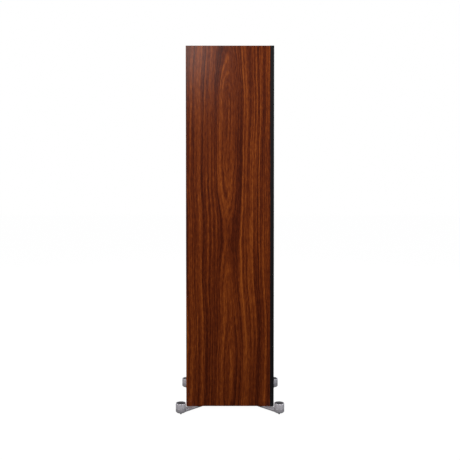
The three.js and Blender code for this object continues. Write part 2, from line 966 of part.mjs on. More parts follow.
// The casting lies along +X from its boss: a waisted arm that widens into the plate under the cabinet.
function outrigger() {
  const root = armWaist + armFlare;
  const turn = armWaist + 0.6 * armFlare;
  const armShape = new THREE.Shape();
  armShape.moveTo(0, -armWidth / 2);
  armShape.lineTo(armWaist, -armWidth / 2);
  armShape.quadraticCurveTo(turn, -armWidth / 2, root, -armRootWidth / 2);
  armShape.lineTo(armReach - armCorner, -armRootWidth / 2);
  armShape.quadraticCurveTo(armReach, -armRootWidth / 2, armReach, -armRootWidth / 2 + armCorner);
  armShape.lineTo(armReach, armRootWidth / 2 - armCorner);
  armShape.quadraticCurveTo(armReach, armRootWidth / 2, armReach - armCorner, armRootWidth / 2);
  armShape.lineTo(root, armRootWidth / 2);
  armShape.quadraticCurveTo(turn, armWidth / 2, armWaist, armWidth / 2);
  armShape.lineTo(0, armWidth / 2);
  for (const place of boltPlaces) {
    const hole = new THREE.Path();
    hole.absarc(place, 0, boltHole, 0, Math.PI * 2);
    armShape.holes.push(hole);
  }
  const armBottom = armTop - armThickness;
  const arm = extruded(armShape, armThickness, 3).translate(0, 0, armBottom);
  const bossChamfer = 2.6;
  const bore = spikeStud + fitGap;
  const boss = turnedUpright(
    [
      [0, armBottom],
      [pillarRadius - bossChamfer, armBottom],
      [pillarRadius, armBottom + bossChamfer],
      [pillarRadius, bossTop],
      [0, bossTop],
    ],
    footSegments,
  );
  const drill = turnedUpright(
    [
      [0, -cutClear],
      [bore, -cutClear],
      [bore, bossTop + cutClear],
      [0, bossTop + cutClear],
    ],
    spikeSegments,
  );
  return fromSolid(solid(arm).add(solid(boss)).subtract(solid(drill)));
}

// The thumbwheel sits on the boss, turns on the stud, and has a shallow dish for its cover disc.
const wheelBore = spikeStud + fitGap;
const dishRadius = 11.5;
const dishDepth = 1;
const wheelEdge = 1.2;
const wheelProfile = [
  [0, wheelTop - dishDepth],
  [dishRadius, wheelTop - dishDepth],
  [dishRadius, wheelTop],
  [pillarRadius - wheelEdge, wheelTop],
  [pillarRadius, wheelTop - wheelEdge],
  [pillarRadius, wheelBottom],
  [wheelBore, wheelBottom],
  [wheelBore, spikeTop + 1],
  [0, spikeTop + 1],
];

const tipRadius = 0.8;
const spikeProfile = [
  [0, 0],
  [tipRadius, 0],
  [spikeRadius, spikeHeight - 1],
  [spikeRadius, spikeHeight],
  [spikeStud, spikeHeight],
  [spikeStud, spikeTop],
  [0, spikeTop],
];

const corners = [
  ["front_left", -1, -1],
  ["front_right", 1, -1],
  ["rear_left", -1, 1],
  ["rear_right", 1, 1],
];
const outriggerForm = outrigger();
for (const [corner, sideX, sideY] of corners) {
  const foot = new THREE.Group();
  foot.position.set((sideX * footAcross) / 2, (sideY * footAlong) / 2, 0);
  speaker.add(foot);
  const inward = Math.atan2(-sideY, -sideX);
  named(`outrigger_${corner}`, outriggerForm.clone().rotateZ(inward), satinMetal, foot);
  named(`thumbwheel_${corner}`, turnedUpright(wheelProfile, footSegments), satinMetal, foot);
  named(`spike_${corner}`, turnedUpright(spikeProfile, spikeSegments), steel, foot);
}

export default speaker;
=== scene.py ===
"""Looks for the floorstanding speaker. Metres, +Z up, the front faces -Y.

Profiles, outlines and the sizes in capitals are in millimetres. The pieces' places, and the outer sizes of
the panels, drive units, port and terminal cup, are read from the CAD frame.
"""

import json
import math

import bmesh
import bpy
from mathutils import Matrix, Vector

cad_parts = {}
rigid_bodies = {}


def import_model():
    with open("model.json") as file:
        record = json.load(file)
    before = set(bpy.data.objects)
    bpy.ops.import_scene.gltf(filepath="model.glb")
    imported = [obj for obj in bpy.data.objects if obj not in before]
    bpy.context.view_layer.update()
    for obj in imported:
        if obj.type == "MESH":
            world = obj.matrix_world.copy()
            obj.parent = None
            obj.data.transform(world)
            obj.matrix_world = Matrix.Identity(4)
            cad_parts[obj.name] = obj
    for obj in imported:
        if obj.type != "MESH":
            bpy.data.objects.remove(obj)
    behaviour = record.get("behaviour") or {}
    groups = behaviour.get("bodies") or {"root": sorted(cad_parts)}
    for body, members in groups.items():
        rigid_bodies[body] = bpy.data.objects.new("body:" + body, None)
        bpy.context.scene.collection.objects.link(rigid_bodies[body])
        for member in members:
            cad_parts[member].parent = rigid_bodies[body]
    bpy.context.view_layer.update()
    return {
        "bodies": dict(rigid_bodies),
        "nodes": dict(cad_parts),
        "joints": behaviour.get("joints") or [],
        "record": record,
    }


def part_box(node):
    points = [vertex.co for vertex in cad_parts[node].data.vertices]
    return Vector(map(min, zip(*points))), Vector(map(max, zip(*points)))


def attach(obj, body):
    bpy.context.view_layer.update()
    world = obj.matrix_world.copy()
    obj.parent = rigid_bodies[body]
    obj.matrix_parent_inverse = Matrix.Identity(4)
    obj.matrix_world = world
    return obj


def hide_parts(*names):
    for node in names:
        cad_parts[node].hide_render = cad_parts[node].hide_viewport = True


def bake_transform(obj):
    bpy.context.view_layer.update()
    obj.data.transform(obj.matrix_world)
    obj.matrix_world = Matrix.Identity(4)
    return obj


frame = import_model()
nodes = frame["nodes"]

MM = 0.001
WELD = 1e-6  # metres; points closer than this are one point
SPEAKER_MIDDLE = (0, 0, 0.55)
WOOFERS = ("woofer_upper", "woofer_lower")
CORNERS = ("front_left", "front_right", "rear_left", "rear_right")
POSTS = ("red", "black")


# ---- Camera, lights and floor ----


def make_camera():
    """The photo's viewpoint: square to the left side, a little above the middle and tilted down."""
    data = bpy.data.cameras.new("camera")
    data.lens = 45.82
    data.sensor_width = 36
    data.shift_y = -0.0401
    data.clip_end = 50
    camera = bpy.data.objects.new("camera", data)
    bpy.context.scene.collection.objects.link(camera)
    camera.location = (-1.85, 0, 0.644)
    pitch = math.radians(1.31)
    camera.rotation_euler = (math.pi / 2 - pitch, 0, -math.pi / 2)
    bpy.context.scene.camera = camera


def area_light(name, place, size, power, colour=(1, 1, 1)):
    """A softbox aimed at the speaker's middle."""
    data = bpy.data.lights.new(name, "AREA")
    data.shape = "RECTANGLE"
    data.size, data.size_y = size
    data.energy = power
    data.color = colour
    lamp = bpy.data.objects.new(name, data)
    bpy.context.scene.collection.objects.link(lamp)
    lamp.location = place
    aim = Vector(SPEAKER_MIDDLE) - Vector(place)
    lamp.rotation_euler = aim.to_track_quat("-Z", "Y").to_euler()


def put(node, **values):
    """Sets a node's sockets by name."""
    for key, value in values.items():
        node.inputs[key.replace("_", " ")].default_value = value


def camera_white(tree, output, seen, unseen):
    """Joins seen for what the camera sees directly and unseen for the light and the reflections."""
    choose = tree.nodes.new("ShaderNodeMixShader")
    rays = tree.nodes.new("ShaderNodeLightPath")
    tree.links.new(rays.outputs["Is Camera Ray"], choose.inputs[0])
    tree.links.new(unseen, choose.inputs[1])
    tree.links.new(seen, choose.inputs[2])
    tree.links.new(choose.outputs[0], output.inputs["Surface"])


def make_studio():
    """A white sweep behind the object, dim surroundings, and softboxes that do most of the lighting."""
    bpy.context.scene.view_settings.view_transform = "Standard"
    world = bpy.data.worlds.new("studio")
    bpy.context.scene.world = world
    world.use_nodes = True
    tree = world.node_tree
    glow = tree.nodes["Background"]
    put(glow, Color=(0.93, 0.93, 1, 1), Strength=0.22)
    backdrop = tree.nodes.new("ShaderNodeBackground")
    put(backdrop, Color=(1, 1, 1, 1))
    camera_white(tree, tree.nodes["World Output"], backdrop.outputs[0], glow.outputs[0])
    area_light("overhead", (0, 0, 3.2), (2.6, 2.6), 50)
    area_light("sheen", (-2.9, 1.15, 2.85), (0.8, 0.9), 42, (1, 0.80, 0.74))
    area_light("side_front", (-1.9, -2.7, 1.3), (1.4, 1.4), 48)
    area_light("side_rear", (-1.9, 2.7, 1.5), (1.4, 1.4), 42)
    area_light("right_front", (2.4, -2.2, 1.9), (1.8, 1.8), 36)
    area_light("right_rear", (2.4, 2.2, 1.9), (1.8, 1.8), 32)
    bpy.ops.mesh.primitive_plane_add(size=40)
    floor = bpy.context.object
    floor.name = "floor"
    paint = bpy.data.materials.new("floor_paint")
    paint.use_nodes = True
    tree = paint.node_tree
    shader = tree.nodes["Principled BSDF"]
    put(shader, Base_Color=(0.04, 0.04, 0.04, 1), Roughness=0.9, Specular_IOR_Level=0.0)
    bright = tree.nodes.new("ShaderNodeEmission")
    put(bright, Strength=0.985)
    both = tree.nodes.new("ShaderNodeAddShader")
    tree.links.new(shader.outputs[0], both.inputs[0])
    tree.links.new(bright.outputs[0], both.inputs[1])
    camera_white(tree, tree.nodes["Material Output"], both.outputs[0], shader.outputs[0])
    floor.data.materials.append(paint)


# ---- Materials ----


def tint(shade, factor):
    """A shade made darker or lighter."""
    return tuple(min(1, part * factor) for part in shade)


class Graph:
    """A short way to write a node material: most calls add nodes and return an output socket."""

    def __init__(self, name):
        self.material = bpy.data.materials.new(name)
        self.material.use_nodes = True
        self.tree = self.material.node_tree
        self.shader = self.tree.nodes["Principled BSDF"]
        self.place = self.node("TexCoord").outputs["Object"]

    def feed(self, socket, value):
        """Gives a socket a link, a number or a colour."""
        if isinstance(value, bpy.types.NodeSocket):
            self.tree.links.new(value, socket)
        else:
            socket.default_value = (*value, 1) if isinstance(value, tuple) else value

    def node(self, kind, *values, **settings):
        """Adds a node and feeds the values to its sockets in order."""
        made = self.tree.nodes.new(f"ShaderNode{kind}")
        for key, value in settings.items():
            setattr(made, key, value)
        for socket, value in zip(made.inputs, values):
            self.feed(socket, value)
        return made

    def math(self, operation, *values):
        return self.node("Math", *values, operation=operation).outputs[0]

    def times(self, first, second):
        return self.math("MULTIPLY", first, second)

    def plus(self, first, second):
        return self.math("ADD", first, second)

    def scaled(self, value, factor, offset):
        return self.math("MULTIPLY_ADD", value, factor, offset)

    def length(self, first, second):
        return self.math("SQRT", self.plus(self.times(first, first), self.times(second, second)))

    def wave(self, value, factor):
        """A sine of value * factor, between 0 and 1."""
        return self.scaled(self.math("SINE", self.times(value, factor)), 0.5, 0.5)

    def split(self, vector):
        return self.node("SeparateXYZ", vector).outputs

    def join(self, *parts):
        return self.node("CombineXYZ", *parts).outputs[0]

    def noise(self, scale=1.0, detail=2.0, roughness=0.5, at=None):
        """Noise over the object's own coordinates or over those given."""
        made = self.node("TexNoise", at or self.place)
        put(made, Scale=scale, Detail=detail, Roughness=roughness)
        return made.outputs[0]

    def ramp(self, value, *stops, smooth=False):
        made = self.node("ValToRGB", value)
        made.color_ramp.interpolation = "EASE" if smooth else "LINEAR"
        elements = made.color_ramp.elements
        while len(elements) < len(stops):
            elements.new(0.5)
        for element, (place, colour) in zip(elements, stops):
            element.position = place
            shade = (colour,) * 3 if isinstance(colour, (int, float)) else colour
            element.color = (*shade, 1)
        return made.outputs[0]

    def mix(self, share, first, second):
        made = self.node("Mix", share, data_type="RGBA")
        self.feed(made.inputs[6], first)
        self.feed(made.inputs[7], second)
        return made.outputs[2]

    def vary(self, share, shade, low, high):
        """From a darker to a lighter version of a shade."""
        return self.mix(share, tint(shade, low), tint(shade, high))

    def bump(self, height, strength, distance):
        made = self.node("Bump")
        put(made, Strength=strength, Distance=distance)
        self.feed(made.inputs["Height"], height)
        self.feed(self.shader.inputs["Normal"], made.outputs[0])

    def finish(self, **inputs):
        for key, value in inputs.items():
            self.feed(self.shader.inputs[key.replace("_", " ")], value)
        return self.material


def walnut_veneer(name, across, along, seed, crown=0.0):
    """Flat-cut walnut. across and along are axis numbers of the panel's plane. The sheet passes a little to
    one side of the log's heart, whose depth behind it rises and falls, so the rings close into narrow
    cathedrals about crown and run out into straight stripes at the sides."""
    g = Graph(name)
    axes = g.split(g.place)
    a, b = axes[across], axes[along]

    def grain(first, scale_across, scale_along, offset, detail=2.0, roughness=0.5):
        stretched = g.join(g.times(first, scale_across), g.times(b, scale_along), offset)
        return g.noise(1.0, detail, roughness, stretched)

    swell, low_point = 2 * math.pi / 0.66, 0.816
    drift = g.noise(at=g.join(seed, g.times(b, 2.1), seed * 0.37))
    side = g.plus(a, g.scaled(drift, 0.028, -0.014 - crown))
    swing = g.math("COSINE", g.scaled(b, swell, -swell * low_point))
    uneven = g.noise(detail=2.5, at=g.join(seed * 1.7, g.times(b, 5.5), 4.2))
    depth = g.scaled(swing, -0.0095, g.scaled(uneven, 0.020, 0.012))
    radius = g.length(side, depth)
    flank = g.times(g.math("SIGN", side), 0.7)
    waver = grain(a, 18, 3.0, seed)
    ragged = grain(a, 120, 42, seed + 3, roughness=0.6)
    ring = g.plus(g.scaled(waver, 0.010, radius), g.times(ragged, 0.0022))
    wide = grain(ring, 96, 0.9, flank, detail=1.0)
    narrow = grain(ring, 290, 1.6, flank, roughness=0.6)
    fibre = grain(a, 900, 22, seed, 3.0, 0.65)
    fleck = grain(a, 380, 65, seed + 5, roughness=0.6)
    cloud = grain(a, 8, 2.6, seed + 7)
    tone = g.scaled(wide, 0.88, narrow)
    tone = g.plus(tone, g.scaled(fibre, 0.45, g.scaled(fleck, 0.62, -0.965)))
    tone = g.plus(tone, g.scaled(cloud, 0.25, -0.125))
    tone = g.math("SUBTRACT", tone, g.ramp(radius, (0.004, 0.15), (0.026, 0.0), smooth=True))
    colour = g.ramp(
        tone,
        (0.25, (0.051, 0.0086, 0.0030)),
        (0.42, (0.087, 0.0150, 0.0042)),
        (0.56, (0.132, 0.0250, 0.0052)),
        (0.70, (0.190, 0.0405, 0.0072)),
        (0.85, (0.285, 0.0720, 0.0110)),
    )
    pore = g.ramp(grain(a, 1800, 55, seed + 1), (0.62, 0.0), (0.72, 1.0))
    colour = g.mix(g.times(pore, 0.4), colour, (0.022, 0.006, 0.003))
    gloss = g.scaled(fibre, 0.10, 0.22)
    g.bump(g.math("SUBTRACT", g.times(fibre, 0.4), pore), 0.15, 0.0002)
    return g.finish(Base_Color=colour, Roughness=gloss, Specular_IOR_Level=0.11)


def satin_lacquer(name, shade):
    """Sprayed satin lacquer with a faint orange-peel."""
    g = Graph(name)
    cloud = g.noise(7, 3.0)
    colour = g.vary(cloud, shade, 0.85, 1.2)
    g.bump(g.noise(900), 0.06, 0.0002)
    return g.finish(Base_Color=colour, Roughness=g.scaled(cloud, 0.08, 0.34), Specular_IOR_Level=0.45)


def textured_paint(name, shade, roughness):
    """Fine textured powder coat or moulded plastic."""
    g = Graph(name)
    grit = g.noise(1800, 3.0, 0.6)
    colour = g.vary(g.noise(30), shade, 0.8, 1.25)
    g.bump(grit, 0.25, 0.0003)
    return g.finish(Base_Color=colour, Roughness=g.scaled(grit, 0.16, roughness - 0.08))


def blasted_metal(name, shade, roughness, metallic=1.0):
    """Bead-blasted metal."""
    g = Graph(name)
    grit = g.noise(1400, 3.0, 0.65)
    cloud = g.noise(26, 3.0)
    colour = g.vary(grit, shade, 0.86, 1.1)
    g.bump(grit, 0.12, 0.0002)
    rough = g.plus(g.scaled(grit, 0.12, roughness - 0.1), g.times(cloud, 0.08))
    return g.finish(Base_Color=colour, Metallic=metallic, Roughness=rough)


def rubber(name):
    """Soft black rubber with dust in its pores."""
    g = Graph(name)
    dust = g.noise(60, 4.0)
    colour = g.vary(dust, (0.018, 0.018, 0.019), 0.75, 1.5)
    g.bump(g.noise(2400), 0.12, 0.0002)
    return g.finish(Base_Color=colour, Roughness=g.scaled(dust, 0.15, 0.48))


def fibreboard(name):
    """Raw board: pressed brown fibres."""
    g = Graph(name)
    fleck = g.noise(1300, 3.0, 0.7)
    tone = g.scaled(fleck, 0.8, g.times(g.noise(14, 3.0), 0.2))
    colour = g.ramp(tone, (0.3, (0.25, 0.15, 0.08)), (0.7, (0.46, 0.31, 0.18)))
    g.bump(fleck, 0.3, 0.0003)
    return g.finish(Base_Color=colour, Roughness=0.85)


def cloth(name, shade, threads, roughness=0.8):
    """Woven cloth: two crossed waves over the object's own axes. The colour darkens where the weave dips
    and lightens where it rises: painted shade and painted highlight.
    """
    g = Graph(name)
    x, _, z = g.split(g.place)
    warp, weft = (g.math("SINE", g.times(axis, threads * 2)) for axis in (x, z))
    weave = g.scaled(g.times(warp, weft), 0.5, 0.5)
    # The colour follows the weave's height, from 0.6 of the shade in the dips to 1.2 on the raised threads:
    # painted shade and painted highlight.
    colour = g.vary(weave, shade, 0.6, 1.2)
    colour = g.mix(g.times(g.noise(90, 3.0), 0.35), colour, tint(shade, 0.7))
    g.bump(weave, 0.3, 0.0003)
    return g.finish(Base_Color=colour, Roughness=roughness, Sheen_Weight=0.2)


def brushed_turning(name, shade, roughness, metallic):
    """Satin metal off a lathe: the fine marks run round the piece's own Z axis."""
    g = Graph(name)
    x, y, z = g.split(g.place)
    radius = g.length(x, y)
    marks = g.noise(at=g.join(g.times(radius, 5200), g.times(z, 5200), 0.4))
    grit = g.noise(1700, 3.0, 0.6)
    cloud = g.noise(60, 3.0)
    both = g.scaled(marks, 0.6, g.times(grit, 0.4))
    colour = g.vary(both, shade, 0.84, 1.14)
    g.bump(both, 0.10, 0.0002)
    rough = g.plus(g.scaled(both, 0.16, roughness - 0.12), g.times(cloud, 0.08))
    return g.finish(Base_Color=colour, Metallic=metallic, Roughness=rough)


def cone_paper(name, shade):
    """Pressed paper pulp: fibres that lie mostly round the cone, with faint rings."""
    g = Graph(name)
    x, y, z = g.split(g.place)
    radius = g.length(x, z)
    angle = g.math("ARCTAN2", x, z)
    fibre = g.noise(1.0, 4.0, 0.7, g.join(g.times(radius, 900), g.times(angle, 9), y))
    tone = g.scaled(fibre, 0.65, g.times(g.noise(160, 4.0, 0.7), 0.35))
    colour = g.ramp(tone, (0.3, tint(shade, 0.55)), (0.7, tint(shade, 1.5)))
    g.bump(g.scaled(g.wave(radius, 1500), 0.12, tone), 0.35, 0.0003)
    return g.finish(Base_Color=colour, Roughness=g.scaled(fibre, 0.2, 0.42))


def enamelled_wire(name, shade, pitch, axis):
    """A winding: one groove per turn, along the given axis of the piece. Its colour darkens in each groove:
    painted shade.
    """
    g = Graph(name)
    turn = g.wave(g.split(g.place)[axis], 2 * math.pi / pitch)
    cloud = g.noise(300)
    # The colour follows the groove's depth, down to 0.45 of the shade in each groove: painted shade between
    # the turns.
    colour = g.mix(g.times(cloud, 0.3), g.vary(turn, shade, 0.45, 1), tint(shade, 0.7))
    g.bump(turn, 0.5, pitch / 4)
    return g.finish(Base_Color=colour, Metallic=0.9, Roughness=g.scaled(cloud, 0.15, 0.2))


# ---- Mesh helpers ----


def soften(profile, radius, steps=3, closed=True):
    """The profile with its corners rounded off by arcs, as far as its edges leave room."""
    out = []
    count = len(profile)
    for k, here in enumerate(profile):
        point = Vector(here)
        if not closed and k in (0, count - 1):
            out.append(tuple(point))
            continue
        before = Vector(profile[k - 1]) - point
        after = Vector(profile[(k + 1) % count]) - point
        corner = before.angle(after)
        if corner > math.radians(168):
            out.append(tuple(point))
            continue
        reach = min(radius / math.tan(corner / 2), 0.45 * before.length, 0.45 * after.length)
        true_radius = reach * math.tan(corner / 2)
        middle = (before.normalized() + after.normalized()).normalized()
        centre = point + middle * (true_radius / math.sin(corner / 2))
        first = point + before.normalized() * reach - centre
        last = point + after.normalized() * reach - centre
        sweep = first.angle_signed(last)
        for step in range(steps + 1):
            turn = Matrix.Rotation(-sweep * step / steps, 2)
            out.append(tuple(centre + turn @ first))
    return out


def arc(centre, middle, radius, start, end, steps):
    """Points of an arc about (centre, middle). Angles are in degrees, and depth falls as they rise."""
    points = []
    for k in range(steps + 1):
        angle = math.radians(start + (end - start) * k / steps)
        points.append((centre + radius * math.cos(angle), middle - radius * math.sin(angle)))
    return points


def shares(steps):
    """Even shares from 0 to 1."""
    return [k / steps for k in range(steps + 1)]


def quarter(steps):
    """A rounded corner's points as shares of its radius in from both sides, from (1, 0) to (0, 1)."""
    angles = [math.radians(90 * share) for share in shares(steps)]
    return [(1 - math.sin(angle), 1 - math.cos(angle)) for angle in angles]


def dome_curve(reach, top, ball):
    """The face of a ball from its tip at depth top out to the radius reach."""
    radii = [reach * share for share in shares(14)]
    return [(radius, top + ball - math.sqrt(ball * ball - radius * radius)) for radius in radii]


def turned(profile, centre, inward, segments=96, flutes=0, flute_depth=0.0, smooth=0.0):
    """(radius, depth) points in millimetres revolved about the line through centre along inward. Radii
    above smooth carry the flutes, which are shallow grooves."""
    inward = Vector(inward).normalized()
    side = inward.orthogonal().normalized()
    up = inward.cross(side)
    bm = bmesh.new()
    rings = []
    for radius, depth in profile:
        foot = Vector(centre) + inward * depth * MM
        if radius <= 0:
            rings.append([bm.verts.new(foot)] * segments)
            continue
        ring = []
        for k in range(segments):
            angle = 2 * math.pi * k / segments
            groove = flute_depth * abs(math.sin(flutes * angle / 2)) if radius > smooth else 0.0
            spoke = side * math.cos(angle) + up * math.sin(angle)
            ring.append(bm.verts.new(foot + spoke * (radius - groove) * MM))
        rings.append(ring)
    pairs = list(zip(rings, rings[1:]))
    if profile[0][0] > 0 or profile[-1][0] > 0:
        pairs.append((rings[-1], rings[0]))
    for first, second in pairs:
        for k in range(segments):
            follow = (k + 1) % segments
            corners = dict.fromkeys((first[k], first[follow], second[follow], second[k]))
            if len(corners) > 2:
                bm.faces.new(list(corners))
    bmesh.ops.recalc_face_normals(bm, faces=bm.faces)
    return bm


def block(low, high):
    """A box between two corners given in metres."""
    bm = bmesh.new()
    size = [h - l for l, h in zip(low, high)]
    centre = [(h + l) / 2 for l, h in zip(low, high)]
    bmesh.ops.create_cube(bm, size=1.0)
    bmesh.ops.transform(bm, matrix=Matrix.Translation(centre) @ Matrix.Diagonal((*size, 1)), verts=bm.verts)
    return bm


def round_edges(bm, radius, chosen, segments=3):
    """Rounds the edges for which chosen(middle, direction) is true, by a radius in millimetres."""
    picked = []
    for edge in bm.edges:
        first, second = (v.co for v in edge.verts)
        if chosen((first + second) / 2, (second - first).normalized()):
            picked.append(edge)
    bmesh.ops.bevel(bm, geom=picked, offset=radius * MM, segments=segments, profile=0.5, affect="EDGES")
    return bm


def keep_behind(bm, point, normal):
    """Cuts away what lies in front of a plane and closes the cut."""
    parts = bm.verts[:] + bm.edges[:] + bm.faces[:]
    done = bmesh.ops.bisect_plane(bm, geom=parts, plane_co=point, plane_no=normal, clear_outer=True)
    rim = [e for e in done["geom_cut"] if isinstance(e, bmesh.types.BMEdge)]
    bmesh.ops.edgeloop_fill(bm, edges=rim)


def rounded_outline(width, height, corner, steps=8):
    """Points round a rectangle with round corners, in millimetres about its middle."""
    points = []
    for quarter, (sx, sy) in enumerate(((1, 1), (-1, 1), (-1, -1), (1, -1))):
        for k in range(steps + 1):
            angle = math.radians(90 * (quarter + k / steps))
            x = sx * (width / 2 - corner) + corner * math.cos(angle)
            y = sy * (height / 2 - corner) + corner * math.sin(angle)
            points.append((x, y))
    return points


def loft(levels, origin, across, up, closed=True):
    """Rings of (outline, depth) in millimetres joined one after another. Depth goes along across x up. A
    closed loft meets its own start, and an open one is capped at both ends."""
    across, up = Vector(across), Vector(up)
    inward = across.cross(up)
    bm = bmesh.new()
    rings = []
    for outline, depth in levels:
        foot = Vector(origin) + inward * depth * MM
        rings.append([bm.verts.new(foot + (across * x + up * y) * MM) for x, y in outline])
    pairs = list(zip(rings, rings[1:]))
    if closed:
        pairs.append((rings[-1], rings[0]))
    else:
        bm.faces.new(rings[0])
        bm.faces.new(rings[-1])
    for first, second in pairs:
        for k in range(len(first)):
            follow = (k + 1) % len(first)
            bm.faces.new((first[k], first[follow], second[follow], second[k]))
    bmesh.ops.recalc_face_normals(bm, faces=bm.faces)
    return bm


def merged(*meshes):
    """One bmesh that holds all of the given ones."""
    whole = bmesh.new()
    for part in meshes:
        holder = bpy.data.meshes.new("holder")
        part.to_mesh(holder)
        part.free()
        whole.from_mesh(holder)
        bpy.data.meshes.remove(holder)
    return whole


def placed(bm, matrix):
    """A copy of a bmesh, moved by a matrix."""
    copy = bm.copy()
    bmesh.ops.transform(copy, matrix=matrix, verts=copy.verts)
    return copy


def loose(bm, name="loose"):
    """An object with no body, for a boolean."""
    mesh = bpy.data.meshes.new(name)
    bm.to_mesh(mesh)
    bm.free()
    obj = bpy.data.objects.new(name, mesh)
    bpy.context.scene.collection.objects.link(obj)
    return obj


def drill(radius, start, end, centre, inward, segments=32):
    """A cylinder between two depths, to cut a hole with."""
    return turned([(0, start), (radius, start), (radius, end), (0, end)], centre, inward, segments)


def combined(base, *cutters, added=()):
    """A bmesh with others added to it, and then with the cutters taken out of it."""
    target = loose(base)
    steps = [("UNION", tool) for tool in added] + [("DIFFERENCE", tool) for tool in cutters]
    tools = []
    for operation, tool in steps:
        tools.append(loose(tool, "tool"))
        modifier = target.modifiers.new(operation, "BOOLEAN")
        modifier.operation = operation
        modifier.solver = "EXACT"
        modifier.object = tools[-1]
    bpy.context.view_layer.update()
    done = target.evaluated_get(bpy.context.evaluated_depsgraph_get())
    out = bmesh.new()
    out.from_mesh(done.to_mesh())
    done.to_mesh_clear()
    for used in (target, *tools):
        bpy.data.objects.remove(used)
    bmesh.ops.remove_doubles(out, verts=out.verts, dist=WELD)
    return out


def shade(mesh, sharp=32):
    """Smooth shading with sharp edges where faces meet at more than the angle in degrees."""
    mesh.polygons.foreach_set("use_smooth", [True] * len(mesh.polygons))
    mesh.set_sharp_from_angle(angle=math.radians(sharp))


def piece(name, bm, material, node=None, body="cabinet", origin=(0, 0, 0), sharp=32):
    """Makes a piece of the visual model. Its own axes start at origin, which centres its material. node is
    the CAD node it replaces."""
    mesh = bpy.data.meshes.new(name)
    bm.to_mesh(mesh)
    bm.free()
    mesh.transform(Matrix.Translation(-Vector(origin)))
    shade(mesh, sharp)
    mesh.materials.append(material)
    obj = bpy.data.objects.new(name, mesh)
    obj.location = origin
    bpy.context.scene.collection.objects.link(obj)
    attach(obj, body)
    if node:
        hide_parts(node)
    return obj


def middle_of(node):
    low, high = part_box(node)
    return (Vector(low) + Vector(high)) / 2


def size_of(node):
    low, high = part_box(node)
    return Vector(high) - Vector(low)


def assign(material, *names):
    for name in names:
        data = nodes[name].data
        data.materials.clear()
        data.materials.append(material)


# ---- Cabinet ----

LEFT, RIGHT, UP, DOWN = (-1, 0, 0), (1, 0, 0), (0, 0, 1), (0, 0, -1)
FRONT_FACING = {"across": (-1, 0, 0), "up": (0, 0, 1)}
REAR_FACING = {"across": (1, 0, 0), "up": (0, 0, 1)}
INTO_FRONT, INTO_REAR = (0, 1, 0), (0, -1, 0)
FIT_GAP = 0.4  # round a flange that sits in its rebate
PANEL_EDGE = 0.8
FASCIA_EDGE = 1.5
CLEAR = 2.0  # how far a cutter stands out of what it cuts
FRONT_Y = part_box("front_fascia")[0][1]
REAR_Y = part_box("rear_panel")[1][1]


def mitred_panels(veneers, edge_veneers):
    """The four outer panels: one rounded box, cut where neighbours meet and along the inner faces.
    Their rear edges carry strips of veneer whose grain runs along the edge."""
    low = Vector(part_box("side_panel_left")[0])
    high = Vector(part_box("side_panel_right")[1])
    thickness = size_of("top_panel").z
    faces = {"side_panel_left": LEFT, "side_panel_right": RIGHT, "top_panel": UP, "bottom_panel": DOWN}

    def outer(direction):
        return Vector([h if d > 0 else l if d < 0 else 0 for d, l, h in zip(direction, low, high)])

    def is_outer_edge(middle, direction):
        return abs(direction.y) > 0.9 or abs(middle.y - high.y) < WELD

    for name, face in faces.items():
        bm = round_edges(block(low, high), PANEL_EDGE, is_outer_edge)
        facing = Vector(face)
        for other in faces.values():
            if abs(facing.dot(Vector(other))) < 0.5:
                keep_behind(bm, outer(face) + outer(other), Vector(other) - facing)
        keep_behind(bm, outer(face) - facing * thickness, -facing)
        for cell in bm.faces:
            cell.material_index = int(abs(cell.normal.y) > 0.9)
        panel = piece(f"{name}_veneered", bm, veneers[name], name)
        panel.data.materials.append(edge_veneers[abs(facing.z) > 0.5])


def round_cutter(centre, inward, radius, rebate, hole, back):
    """A hole with a rebate and a fine chamfer at its mouth, all in millimetres."""
    chamfer = 0.5
    profile = [(0, -CLEAR), (radius + chamfer, -CLEAR), (radius + chamfer, 0), (radius, chamfer)]
    profile += [(radius, rebate), (hole, rebate), (hole, back + CLEAR), (0, back + CLEAR)]
    return turned(profile, centre, inward, 128)


def turned_piece(name, node, profile, axis, material, slot, segments=96, body="cabinet", **flutes):
    """A turned piece. axis is a point on its axis and the direction in which depth grows."""
    centre, inward = axis
    bm = turned(profile, centre, inward, segments, **flutes)
    piece(name, bm, material, node, body, origin=centre)


def front_fascia(lacquer):
    low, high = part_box("front_fascia")
    depth = (high[1] - low[1]) / MM
    blank = round_edges(block(low, high), FASCIA_EDGE, lambda middle, _: abs(middle.y - low[1]) < WELD, 5)
    radii = [(unit.centre, INTO_FRONT, unit.frame + FIT_GAP, REBATE, unit.cutout) for unit in UNITS]
    bm = combined(blank, *(round_cutter(*sizes, depth) for sizes in radii))
    piece("front_fascia_lacquered", bm, lacquer, "front_fascia", sharp=25)


def rear_panel(veneer):
    low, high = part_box("rear_panel")
    depth = (high[1] - low[1]) / MM
    blank = round_edges(block(low, high), 0.5, lambda middle, _: abs(middle.y - high[1]) < WELD, 2)
    cutters = [round_cutter(PORT_CENTRE, INTO_REAR, PORT_FLANGE + FIT_GAP, REBATE, PORT_HOLE, depth)]
    for (width, height), end in ((CUP_PLATE, CUP_PLATE_THICKNESS + 0.3), (CUP_BODY, depth + CLEAR)):
        outline = rounded_outline(width + 2 * FIT_GAP, height + 2 * FIT_GAP, CUP_CORNER)
        cutters.append(loft([(outline, -CLEAR), (outline, end)], CUP_CENTRE, closed=False, **REAR_FACING))
    bm = combined(blank, *cutters)
    piece("rear_panel_veneered", bm, veneer, "rear_panel", sharp=25)


# ---- Screws ----


def hex_screw(head, height, key):
    """A socket-head screw at the origin that faces -Y, with its head's top at depth 0. Millimetres."""
    edge = 0.3
    profile = [(0, 0), (head - edge, 0), (head, edge), (head, height), (0, height)]
    body = turned(profile, (0, 0, 0), INTO_FRONT, 32)
    return combined(body, drill(key, -1, height * 0.7, (0, 0, 0), INTO_FRONT, 6))


def spoke_at(angle):
    """A unit vector in the X-Z plane, upright at 0."""
    return Vector((math.sin(angle), 0, math.cos(angle)))


